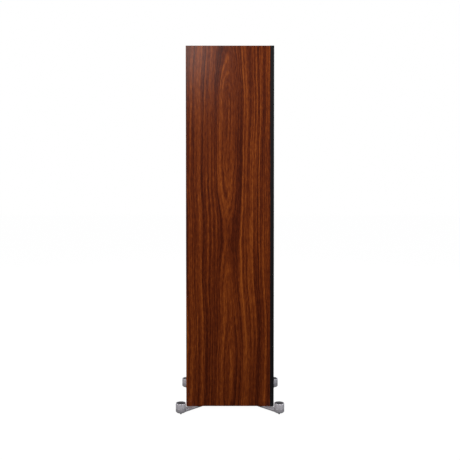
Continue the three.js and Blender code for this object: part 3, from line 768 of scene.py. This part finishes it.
def ring_of(count, radius, turn=0.0):
    """Offsets in the X-Z plane, in metres, evenly round a circle given in millimetres."""
    return [spoke_at(turn + 2 * math.pi * k / count) * radius * MM for k in range(count)]


def screws(name, places, material, head=2.7, height=1.2, key=1.35, spin=Matrix.Identity(4)):
    """One piece with a screw at each place. spin turns them from facing -Y."""
    template = hex_screw(head, height, key)
    copies = [placed(template, Matrix.Translation(place) @ spin) for place in places]
    template.free()
    piece(name, merged(*copies), material, origin=places[0])


# ---- Drive units ----

REBATE = 5.0
RIM = 0.3  # a flange's front below the surface round it
FLANGE_BACK = 4.7
LIP_FRONT, LIP_BACK = 5.5, 6.2  # the surround's lip on the basket
SURROUND_INSET = 10  # from the frame's rim to the surround's
GLUE_LIP = 3.5  # width of the surround's outer lip
CONE_RIM = 6.6  # depth of the cone's outer edge
CONE_CURVE = 1.12  # 1 would be a straight cone
SCREW_INSET = 3.8  # from the frame's rim
SCREW_RECESS = 0.7
SCREW_CLOCKING = 0.02  # keeps a screw well's corners off the flange's corners


class Unit:
    """Where a drive unit sits, and its main radii and its depths behind the fascia's front."""

    def __init__(self, name, front, cutout, **sizes):
        self.name = name
        self.motion = f"{name}_motion"
        self.centre = Vector((0, FRONT_Y, middle_of(f"{name}_{front}").z))
        self.frame = size_of(f"{name}_{front}").z / 2 / MM
        self.cutout = cutout
        self.__dict__.update(sizes)

    @property
    def edge(self):
        """The cone's outer radius."""
        return self.frame - SURROUND_INSET - GLUE_LIP - self.roll

    @property
    def neck(self):
        """The cone's inner radius."""
        return self.coil + 1

    @property
    def throat(self):
        """The depth of the cone's inner edge."""
        return self.seat - 8

    def at(self, depth):
        return self.centre + Vector((0, depth * MM, 0))

    def turn(self, name, node, profile, material, slot, segments=96, moving=False):
        """A piece turned about the unit's axis, fixed or moving with the cone."""
        body = self.motion if moving else "cabinet"
        axis = (self.centre, INTO_FRONT)
        name, node = f"{self.name}_{name}", f"{self.name}_{node}"
        turned_piece(name, node, profile, axis, material, slot, segments, body)


WOOFER = {"cutout": 67, "roll": 10, "coil": 16, "seat": 41, "seat_radius": 45}
WOOFER |= {"magnet": 46, "magnet_thickness": 14.7, "windows": 6, "screws": 6, "capped": True}
MIDRANGE = {"cutout": 54, "roll": 8, "coil": 12.5, "seat": 34, "seat_radius": 36}
MIDRANGE |= {"magnet": 38, "magnet_thickness": 12.7, "windows": 5, "screws": 5, "capped": False}
CONE_UNITS = [Unit(name, "basket", **WOOFER) for name in WOOFERS]
CONE_UNITS.append(Unit("midrange", "basket", **MIDRANGE))
TWEETER = Unit("tweeter", "faceplate", cutout=37)
UNITS = [*CONE_UNITS, TWEETER]


def basket(unit, paint, screw_steel):
    """The cast frame: flange, conical wall, magnet seat and spider shelf, with windows between spokes."""
    ledge, wall, gap = unit.frame - 9.5, unit.cutout - 1.5, unit.coil + 1.6
    floor, shelf, back = unit.seat + 0.5, unit.seat - 3.8, unit.seat + 9
    frame, seat_radius, inside = unit.frame, unit.seat_radius, unit.seat_radius - 7
    profile = [(frame - 7.5, RIM), (frame, RIM), (frame, FLANGE_BACK), (wall, FLANGE_BACK), (wall, 12)]
    profile += [(seat_radius, unit.seat), (seat_radius, back), (gap, back), (gap, back - 5)]
    profile += [(gap + 4, floor), (inside, floor), (inside, shelf), (seat_radius - 2.5, shelf)]
    profile += [(ledge - 3, 10.5), (ledge - 3, 6.5), (ledge, 6.5)]
    bm = turned(soften(profile, 0.7, 2), unit.centre, INTO_FRONT, 120)
    half_spoke = math.radians(7)
    pitch = 2 * math.pi / unit.windows
    near, far = unit.coil + 2, frame * 1.3
    windows = []
    for k in range(unit.windows):
        start, end = k * pitch + half_spoke, (k + 1) * pitch - half_spoke
        sides = ((near, start), (far, start), (far, end), (near, end))
        corners = [(radius * math.cos(angle), radius * math.sin(angle)) for radius, angle in sides]
        levels = [(corners, 13), (corners, unit.seat - 4.5)]
        windows.append(loft(levels, unit.centre, closed=False, **FRONT_FACING))
    offsets = ring_of(unit.screws, frame - SCREW_INSET, math.pi / unit.screws + SCREW_CLOCKING)
    wells = [drill(3.1, -CLEAR, 1.9, unit.centre + offset, INTO_FRONT) for offset in offsets]
    bm = combined(bm, merged(*windows), merged(*wells))
    name, node = f"{unit.name}_cast_basket", f"{unit.name}_basket"
    piece(name, bm, paint, node, origin=unit.centre, sharp=28)
    screws(f"{unit.name}_screws", [unit.at(SCREW_RECESS) + offset for offset in offsets], screw_steel)


def flare(unit, radius):
    """Depth of the cone's front surface at a radius."""
    share = (unit.edge - radius) / (unit.edge - unit.neck)
    return CONE_RIM + (unit.throat - CONE_RIM) * max(0.0, share) ** CONE_CURVE


def bridged_ring(unit, name, node, profile, material):
    """A ring that joins the cabinet to a moving cone. It is made as narrow sectors, which are then joined
    into one mesh."""
    name = f"{unit.name}_{name}"
    count, steps = 40, 3
    sectors = []
    for k in range(count):
        bm = bmesh.new()
        rows = []
        for step in range(steps + 1):
            spoke = spoke_at(2 * math.pi * (k * steps + step) / (count * steps))
            rows.append([bm.verts.new(unit.at(depth) + spoke * radius * MM) for radius, depth in profile])
        for first, second in zip(rows, rows[1:]):
            for n in range(len(profile)):
                m = (n + 1) % len(profile)
                bm.faces.new((first[n], first[m], second[m], second[n]))
        sector = loose(bm, name if k == 0 else f"{name}_{k}")
        spoke = spoke_at(2 * math.pi * (k + 0.5) / count) * MM
        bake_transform(sector)
        sectors.append(sector)
    with bpy.context.temp_override(active_object=sectors[0], selected_editable_objects=sectors):
        bpy.ops.object.join()
    ring = sectors[0]
    bm = bmesh.new()
    bm.from_mesh(ring.data)
    bmesh.ops.remove_doubles(bm, verts=bm.verts, dist=WELD)
    bmesh.ops.recalc_face_normals(bm, faces=bm.faces)
    bm.to_mesh(ring.data)
    bm.free()
    shade(ring.data)
    ring.data.materials.append(material)
    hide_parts(f"{unit.name}_{node}")


def surround(unit, material):
    """A half roll whose inner lip lies on the cone."""
    outer = unit.frame - SURROUND_INSET
    roll = unit.roll / 2
    middle = outer - GLUE_LIP - roll
    edge = middle - roll
    lip = [edge - 0.2 - k for k in range(4)]
    profile = [(outer, LIP_FRONT), *arc(middle, LIP_FRONT, roll, 0, 180, 20)]
    profile += [(radius, flare(unit, radius) - 0.75) for radius in lip]
    profile += [(radius, flare(unit, radius) - 0.12) for radius in reversed(lip)]
    profile += arc(middle, LIP_BACK, roll - 0.8, 180, 0, 14)
    profile += [(outer, LIP_BACK)]
    bridged_ring(unit, "roll_surround", "surround", profile, material)


def spider(unit, material):
    """Corrugated cloth: a sine wave between the coil and the basket's shelf."""
    inner, outer = unit.coil + 0.3, unit.seat_radius - 3
    waves, height = 5, 0.8
    ridge = []
    for share in shares(42):
        wave = height * math.sin(share * waves * 2 * math.pi) * min(1, 4 * share, 4 * (1 - share))
        ridge.append((inner + (outer - inner) * share, unit.seat - 5.3 + wave))
    profile = ridge + [(radius, depth + 0.5) for radius, depth in reversed(ridge)]
    bridged_ring(unit, "corrugated_spider", "spider", profile, material)


def cone(unit, paper, cap_material):
    """The cone, and its dust cap where the unit has one."""
    edge, neck, throat = unit.edge, unit.neck, unit.throat
    radii = [edge + (neck - edge) * share for share in shares(24)]
    front = [(radius, flare(unit, radius)) for radius in radii]
    back = [(radius, depth + 1.0) for radius, depth in reversed(front)]
    collar = [(neck - 0.7, throat), (neck - 0.7, throat + 1)]
    unit.turn("cone_body", "cone", front + collar + back, paper, "cone_fibre", 144, moving=True)
    if not unit.capped:
        return
    reach, rise = neck + 7, 6.5
    ball = (reach * reach + rise * rise) / (2 * rise)
    dome = dome_curve(reach, flare(unit, reach) - rise, ball)
    brim = reach + 1.3
    bead = [(brim, flare(unit, brim) - 0.15), (brim, flare(unit, brim) + 0.2)]
    inside = [(radius, depth + 0.7) for radius, depth in reversed(dome)]
    unit.turn("dust_cap", "cone", dome + bead + inside, cap_material, "cone_fibre", moving=True)


def motor(unit, former_metal, copper, ferrite, steel):
    """The coil on its former, the magnet, and the yoke with its pole."""
    inner, face, wire = unit.coil - 1.3, unit.coil - 0.2, unit.coil + 0.7
    top, wound, bottom = unit.seat - 9, unit.seat + 2, unit.seat + 16
    former = [(inner, top), (face, top), (face, bottom), (inner, bottom)]
    winding = [(face, wound), (wire, wound), (wire, bottom - 1), (face, bottom - 1)]
    front = unit.seat + 9.3
    back = front + unit.magnet_thickness
    ring = [(unit.coil + 8, front), (unit.magnet, front), (unit.magnet, back), (unit.coil + 8, back)]
    pole, rim, plate = unit.coil - 1.9, unit.magnet - 3, back + 0.3
    yoke = [(0, unit.seat + 3), (pole, unit.seat + 3), (pole, plate), (rim, plate), (rim, plate + 3)]
    yoke += [(rim - 3, plate + 6), (0, plate + 6)]
    parts = (
        ("voice_coil", "coil_former", former, former_metal, "copper", True, 0.2),
        ("voice_coil", "coil_winding", winding, copper, "copper", True, 0.2),
        ("magnet", "ferrite_ring", ring, ferrite, "ferrite", False, 1.2),
        ("yoke", "turned_yoke", yoke, steel, "steel", False, 0.8),
    )
    for node, name, profile, material, slot, moving, edge in parts:
        rounded = soften(profile, edge, 3, closed=profile[0][0] > 0)
        unit.turn(name, node, rounded, material, slot, moving=moving)


def phase_plug(unit, metal):
    """A bullet on the pole, in place of a dust cap."""
    radius, tip, length, foot = unit.coil - 2.2, 9, 18, unit.seat + 2.7
    rise = [math.sin(share * math.pi / 2) ** 0.9 for share in shares(22)]
    profile = [(radius * high, tip + length * share**1.35) for high, share in zip(rise, shares(22))]
    profile += [(radius, foot), (0, foot)]
    unit.turn("turned_plug", "phase_plug", profile, metal, "satin_metal")


def tweeter(paint, silk, ferrite, plastic, screw_steel):
    """The horn plate with its screws, the dome with its roll and coil, the motor and the rear chamber."""
    frame, throat, mouth = TWEETER.frame, 16, 44
    horn = [(throat + (mouth - throat) * share, RIM + 6.7 * (1 - share) ** 1.9) for share in shares(18)]
    plate = [(frame - 0.5, RIM), (frame, RIM + 0.5), (frame, FLANGE_BACK)]
    plate += [(36, FLANGE_BACK), (36, 8.4), (throat, 8.4)]
    offsets = ring_of(4, frame - 3.2, math.pi / 4)
    wells = [drill(2.4, -CLEAR, 1.7, TWEETER.centre + offset, INTO_FRONT) for offset in offsets]
    bm = combined(turned(horn + plate, TWEETER.centre, INTO_FRONT, 144), merged(*wells))
    node = "tweeter_faceplate"
    piece("tweeter_horn_plate", bm, paint, node, origin=TWEETER.centre, sharp=28)
    places = [TWEETER.at(SCREW_RECESS) + offset for offset in offsets]
    screws("tweeter_screws", places, screw_steel, head=2.0, height=0.9, key=1.0)
    dome = dome_curve(12.6, 3.4, 15.9)
    roll = arc(14.5, 9.6, 1.5, 160, 20, 10)
    outside = [*dome, *roll, (17.2, 9.45), (18.5, 9.45), (18.5, 10)]
    under = [(16.4, 10), (12.9, 10.3), (12.9, 15.5), (12.2, 15.5), (12.2, 10.3)]
    inside = [(radius * 0.95, depth + 0.5) for radius, depth in reversed(dome)]
    TWEETER.turn("silk_dome", "dome", outside + under + inside, silk, "dome_cloth", moving=True)
    core = [(0, 11.3), (11.5, 11.3), (11.5, 19), (13.8, 19), (13.8, 10.8), (35, 10.8), (35, 29), (0, 29)]
    TWEETER.turn("closed_motor", "motor", soften(core, 0.8, 3, False), ferrite, "ferrite")
    chamber = [(0, 50), (27, 50), (30, 47), (30, 29.3), (28, 29.3), (28, 47), (0, 48)]
    chamber = soften(chamber, 1.2, 3, False)
    TWEETER.turn("moulded_chamber", "rear_chamber", chamber, plastic, "black_plastic")


# ---- Port and terminals ----

PORT_CENTRE = Vector((0, REAR_Y, middle_of("reflex_port").z))
PORT_FLANGE = size_of("reflex_port").z / 2 / MM
PORT_HOLE = PORT_FLANGE - 9  # radii
PORT_BORE = 27
CUP_CENTRE = Vector((0, REAR_Y, middle_of("terminal_cup").z))
CUP_PLATE = (size_of("terminal_cup").x / MM, size_of("terminal_cup").z / MM)
CUP_CORNER = 9
CUP_PLATE_THICKNESS = 3
CUP_MOUTH = (88, 64)  # the recess at the surface
CUP_WALL = 3
CUP_BODY = (CUP_MOUTH[0] + 2 * CUP_WALL, CUP_MOUTH[1] + 2 * CUP_WALL)
CUP_DEPTH = 34


def reflex_port(plastic):
    """The flange with its flared mouth, the tube and its inner flare."""
    length = size_of("reflex_port").y / MM + RIM
    bore, tube, seat = PORT_BORE, PORT_BORE + 3, PORT_HOLE - 0.3
    profile = [(bore + 15.5 * s, RIM + 20 * c) for s, c in quarter(18)]
    profile += [(bore + 6 * c, length - 12 * s) for s, c in quarter(10)]
    profile += [(tube + 6, length), (tube, length - 12), (tube, 23), (seat, 10), (seat, FLANGE_BACK)]
    profile += [(PORT_FLANGE, FLANGE_BACK), (PORT_FLANGE, RIM + 0.5), (PORT_FLANGE - 0.5, RIM)]
    axis = (PORT_CENTRE, INTO_REAR)
    turned_piece("reflex_port_moulding", "reflex_port", profile, axis, plastic, "port_plastic", 144)


def terminal_cup(plastic, screw_steel):
    """The plate and its recess, as one skin from the outside of the cup round the plate to its floor."""
    floor = CUP_DEPTH - CUP_WALL
    skin = (
        (CUP_BODY, 0.0, CUP_DEPTH),
        (CUP_BODY, 0.0, CUP_PLATE_THICKNESS),
        (CUP_PLATE, 0.0, CUP_PLATE_THICKNESS),
        (CUP_PLATE, 0.0, 0.6),
        (CUP_PLATE, -0.4, 0.2),
        (CUP_PLATE, -1.4, 0.0),
        (CUP_MOUTH, 4.0, 0.0),
        (CUP_MOUTH, 2.0, 0.35),
        (CUP_MOUTH, 0.6, 1.4),
        (CUP_MOUTH, 0.0, 3.0),
        (CUP_MOUTH, 0.0, floor - 3.0),
        (CUP_MOUTH, -1.8, floor - 0.9),
        (CUP_MOUTH, -6.0, floor),
    )
    levels = []
    for (width, height), growth, depth in skin:
        outline = rounded_outline(width + growth, height + growth, CUP_CORNER + growth / 2)
        levels.append((outline, depth))
    bm = loft(levels, CUP_CENTRE, closed=False, **REAR_FACING)
    holes = []
    for colour in POSTS:
        foot = Vector((middle_of(f"post_stud_{colour}").x, REAR_Y, CUP_CENTRE.z))
        holes.append(drill(4.4, floor - CLEAR, CUP_DEPTH + CLEAR, foot, INTO_REAR, 48))
    across, up = (size / 2 - 6 for size in CUP_PLATE)
    corners = [(sx * across, sz * up) for sx in (-1, 1) for sz in (-1, 1)]
    places = [CUP_CENTRE + Vector((x, 0, z)) * MM for x, z in corners]
    holes += [drill(3.0, -1, 1.6, place, INTO_REAR) for place in places]
    bm = combined(bm, merged(*holes))
    name, node = "terminal_cup_moulding", "terminal_cup"
    piece(name, bm, plastic, node, origin=CUP_CENTRE, sharp=28)
    heads = [place + Vector((0, -0.4 * MM, 0)) for place in places]
    half_turn = Matrix.Rotation(math.pi, 4, "Z")
    screws("terminal_cup_screws", heads, screw_steel, head=2.6, height=1.1, key=1.2, spin=half_turn)


def thread(radius, start, end, pitch, depth=0.35):
    """The zigzag of a screw thread's ridges along a profile."""
    points = []
    turns = int((end - start) / pitch)
    for k in range(turns):
        points.append((radius - depth, start + k * pitch))
        points.append((radius, start + (k + 0.5) * pitch))
    points.append((radius - depth, start + turns * pitch))
    return points


def binding_post(colour, gold, plastic):
    """A threaded stud through the cup's floor, its knurled nut and its fluted cap. Depth grows outward."""
    stud, nut, cap = f"post_stud_{colour}", f"post_nut_{colour}", f"post_cap_{colour}"
    floor_y = REAR_Y - (CUP_DEPTH - CUP_WALL) * MM
    axis = (Vector((middle_of(stud).x, floor_y, CUP_CENTRE.z)), (0, 1, 0))
    profile = [(0, -11), (2.7, -11), (3, -10.6), (3, 0.3), (5.9, 0.3), (6.2, 0.6), (6.2, 1.4), (5.9, 1.7)]
    profile += [(3, 1.7), *thread(3.0, 2.4, 23.0, 0.8)]
    profile += [(2.8, 23.6), (2.4, 24), (2.1, 24), (2.0, 23.8), (2.0, 12), (0, 12)]
    turned_piece(f"{stud}_threaded", stud, profile, axis, gold, "gold", 48)
    profile = [(3.3, 2), (5.8, 2), (6.2, 2.4), (6.2, 6.6), (5.8, 7), (3.3, 7)]
    flutes = {"flutes": 36, "flute_depth": 0.25, "smooth": 5.9}
    body = f"post_nut_body_{colour}"
    turned_piece(f"{nut}_knurled", nut, profile, axis, gold, "gold", 144, body, **flutes)
    start, end, radius = 7.3, 22.3, 8.6
    profile = [(3.3, start), (7.6, start), (8.0, start + 0.4), (radius, start + 2.2), (radius, end - 2.2)]
    profile += [(radius - 0.25, end - 1.0), (radius - 1.0, end - 0.25), (radius - 2.0, end), (3.9, end)]
    profile += [(3.3, end - 0.5)]
    flutes = {"flutes": 16, "flute_depth": 0.7, "smooth": 8.2}
    slot, body = f"{colour}_plastic", f"post_cap_body_{colour}"
    turned_piece(f"{cap}_fluted", cap, profile, axis, plastic, slot, 192, body, **flutes)


# ---- Feet ----

PILLAR = 15.14  # radius of the boss and the thumbwheel
ARM_BOTTOM, ARM_TOP = 7.4, 13.7  # heights above the floor, as are the next three
BOSS_TOP, WHEEL_BOTTOM, WHEEL_TOP = 20.3, 20.6, 34.5
ARM_WIDTH, ARM_REACH = 22, 96
WHEEL_RIM = 0.9  # radius of the thumbwheel's rounded rim
DISH = 13.8  # radius of the hollow that holds the cover disc
STUD_BORE = 4.4
BOLTS = (66, 84)  # places along the arm


def arm_outline():
    """The arm's plan, anticlockwise, with round corners at its far end."""
    half, corner = ARM_WIDTH / 2, 8
    lower = [(0, -half)] + [(ARM_REACH - corner * s, corner * c - half) for s, c in quarter(10)]
    return lower + [(x, -y) for x, y in reversed(lower)]


def inset(outline, amount):
    """The outline moved inwards along its own normals. It runs anticlockwise."""
    moved = []
    for k, point in enumerate(outline):
        before = (Vector(point) - Vector(outline[k - 1])).normalized()
        after = (Vector(outline[(k + 1) % len(outline)]) - Vector(point)).normalized()
        normal = (Vector((-before.y, before.x)) + Vector((-after.y, after.x))).normalized()
        slant = max(0.5, normal.dot(Vector((-after.y, after.x))))
        moved.append(tuple(Vector(point) + normal * amount / slant))
    return moved


def rounded_slab(outline, bottom, top, radius):
    """An outline extruded along Z with its rims rounded. Millimetres."""
    curve = quarter(4)
    levels = [(inset(outline, radius * s), bottom + radius * c) for s, c in curve]
    levels += [(inset(outline, radius * c), top - radius * s) for s, c in curve]
    return loft(levels, (0, 0, 0), (1, 0, 0), (0, 1, 0), closed=False)


def outrigger_form():
    """The casting along +X from its boss: arm, boss, stud bore, and bolt holes with counterbores below."""
    arm = rounded_slab(arm_outline(), ARM_BOTTOM, ARM_TOP, 1.4)
    boss = [(0, ARM_BOTTOM), (PILLAR - 2.6, ARM_BOTTOM), (PILLAR, ARM_BOTTOM + 2.6)]
    boss += [(PILLAR, BOSS_TOP), (0, BOSS_TOP)]
    boss = turned(soften(boss, 1.0, 4, False), (0, 0, 0), UP, 96)
    bore = drill(STUD_BORE, 0, 30, (0, 0, 0), UP, 48)
    step = ARM_BOTTOM + 3.4
    counterbore = [(0, 0), (5.2, 0), (5.2, step), (3.3, step), (3.3, 20), (0, 20)]
    drills = [turned(counterbore, (place * MM, 0, 0), UP, 48) for place in BOLTS]
    return combined(arm, bore, merged(*drills), added=[boss])


def foot(corner, casting, satin, turning, disc_metal, steel, screw_steel):
    """One corner's casting with its bolts, the thumbwheel with its cover disc, and the spike."""
    outrigger, thumbwheel, spike = f"outrigger_{corner}", f"thumbwheel_{corner}", f"spike_{corner}"
    wheel_body, spike_body = f"wheel_body_{corner}", f"spike_body_{corner}"
    centre = middle_of(thumbwheel)
    centre.z = 0
    axis = (centre, UP)
    inward = math.degrees(math.atan2(-centre.y, -centre.x))
    inward = math.radians(45 + 90 * round((inward - 45) / 90))
    stand = Matrix.Translation(centre) @ Matrix.Rotation(inward, 4, "Z")
    bm = placed(casting, stand)
    piece(f"{outrigger}_casting", bm, satin, outrigger, origin=centre, sharp=28)
    heads = [stand @ Vector((place * MM, 0, (ARM_BOTTOM + 0.4) * MM)) for place in BOLTS]
    face_down = Matrix.Rotation(math.pi / 2, 4, "X")
    screws(f"{outrigger}_bolts", heads, screw_steel, head=4.7, height=2.8, key=2.3, spin=face_down)
    top, rim = WHEEL_TOP, [(PILLAR - WHEEL_RIM * s, WHEEL_TOP - WHEEL_RIM * c) for s, c in quarter(5)]
    wheel = [(0, top - 1), (DISH, top - 1), (DISH, top - 0.2), (DISH + 0.2, top), *rim]
    wheel += [(PILLAR, WHEEL_BOTTOM + 0.3), (PILLAR - 0.3, WHEEL_BOTTOM)]
    wheel += [(STUD_BORE, WHEEL_BOTTOM), (STUD_BORE, 30.5), (0, 30.5)]
    turned_piece(f"{thumbwheel}_turned", thumbwheel, wheel, axis, turning, "satin_metal", 128, wheel_body)
    disc = [(0, top - 0.5), (2.2, top - 0.5), (2.6, top - 0.05), (DISH - 0.7, top - 0.1)]
    disc += [(DISH - 0.3, top - 0.35), (DISH - 0.3, top - 0.9), (0, top - 0.9)]
    name = f"{thumbwheel}_cover_disc"
    turned_piece(name, thumbwheel, disc, axis, disc_metal, "satin_metal", 96, wheel_body)
    profile = [(0, 0), (0.45, 0.12), (0.8, 0.5), (6.1, 5.8), (6.5, 6.4), (6.5, 6.8), (6.2, 7.1), (3.7, 7.1)]
    profile += [*thread(4.0, 7.8, 28.8, 1.5, 0.6), (3.2, 29.5), (0, 29.5)]
    turned_piece(f"{spike}_threaded", spike, profile, axis, steel, "steel", 64, spike_body)


# ---- Everything together ----

BLACK_OXIDE = (0.05, 0.05, 0.055)


def build_cabinet():
    veneers = {
        "side_panel_left": walnut_veneer("veneer_left", 1, 2, 2.3, 0.0056),
        "side_panel_right": walnut_veneer("veneer_right", 1, 2, 9.1),
        "top_panel": walnut_veneer("veneer_top", 0, 1, 5.5),
        "bottom_panel": walnut_veneer("veneer_bottom", 0, 1, 6.4),
    }
    upright_edges = walnut_veneer("veneer_upright_edges", 0, 2, 3.1, 0.05)
    level_edges = walnut_veneer("veneer_level_edges", 2, 0, 4.9, 0.9)
    mitred_panels(veneers, (upright_edges, level_edges))
    front_fascia(satin_lacquer("fascia_lacquer", (0.0020, 0.0020, 0.0026)))
    rear_panel(walnut_veneer("veneer_rear", 0, 2, 12.7))
    board = fibreboard("raw_fibreboard")
    assign(board, "inner_baffle", "brace_lower", "brace_upper", "midrange_chamber")
    assign(cloth("polyester_wadding", (0.78, 0.77, 0.73), 300, 0.95), "wadding")


def build_drive_units():
    paint = textured_paint("cast_black", (0.016, 0.016, 0.018), 0.42)
    black_screws = blasted_metal("black_oxide", BLACK_OXIDE, 0.35)
    roll_rubber = rubber("surround_rubber")
    paper = cone_paper("cone_pulp", (0.030, 0.031, 0.035))
    cap = cone_paper("cap_pulp", (0.022, 0.023, 0.026))
    spider_cloth = cloth("spider_cloth", (0.5, 0.36, 0.14), 900)
    former_metal = blasted_metal("black_anodised_former", BLACK_OXIDE, 0.4)
    copper = enamelled_wire("coil_winding", (0.72, 0.33, 0.15), 0.0004, 1)
    ferrite = textured_paint("ferrite", (0.05, 0.05, 0.054), 0.6)
    steel = blasted_metal("zinc_steel", (0.56, 0.57, 0.58), 0.35)
    for unit in CONE_UNITS:
        basket(unit, paint, black_screws)
        surround(unit, roll_rubber)
        spider(unit, spider_cloth)
        cone(unit, paper, cap)
        motor(unit, former_metal, copper, ferrite, steel)
    phase_plug(CONE_UNITS[-1], blasted_metal("plug_aluminium", (0.30, 0.30, 0.31), 0.28))
    tweeter(
        paint,
        cloth("coated_silk", (0.03, 0.03, 0.034), 2600, 0.5),
        ferrite,
        textured_paint("chamber_plastic", (0.015, 0.015, 0.016), 0.4),
        black_screws,
    )


def build_rear():
    plastic = textured_paint("port_plastic", (0.014, 0.014, 0.015), 0.5)
    reflex_port(plastic)
    terminal_cup(plastic, blasted_metal("cup_screw_steel", BLACK_OXIDE, 0.35))
    gold = blasted_metal("gold_plate", (0.86, 0.62, 0.26), 0.22)
    caps = {
        "red": textured_paint("moulded_red", (0.42, 0.012, 0.012), 0.35),
        "black": textured_paint("moulded_black", (0.015, 0.015, 0.016), 0.4),
    }
    for colour in POSTS:
        binding_post(colour, gold, caps[colour])
    assign(textured_paint("solder_mask", (0.03, 0.11, 0.05), 0.4), "crossover_board")
    assign(enamelled_wire("choke_winding", (0.72, 0.33, 0.15), 0.0012, 2), "crossover_coil")
    assign(rubber("cable_jacket"), "wiring_loom")


def build_feet():
    satin = blasted_metal("foot_casting", (0.44, 0.44, 0.475), 0.42, metallic=0.35)
    turning = brushed_turning("foot_turning", (0.80, 0.80, 0.86), 0.36, metallic=0.5)
    disc_metal = brushed_turning("cover_disc", (0.06, 0.06, 0.067), 0.42, metallic=0.4)
    steel = blasted_metal("spike_steel", (0.45, 0.45, 0.46), 0.35)
    bolts = blasted_metal("bolt_steel", BLACK_OXIDE, 0.35)
    casting = outrigger_form()
    for corner in CORNERS:
        foot(corner, casting, satin, turning, disc_metal, steel, bolts)
    casting.free()


make_camera()
make_studio()
build_cabinet()
build_drive_units()
build_rear()
build_feet()
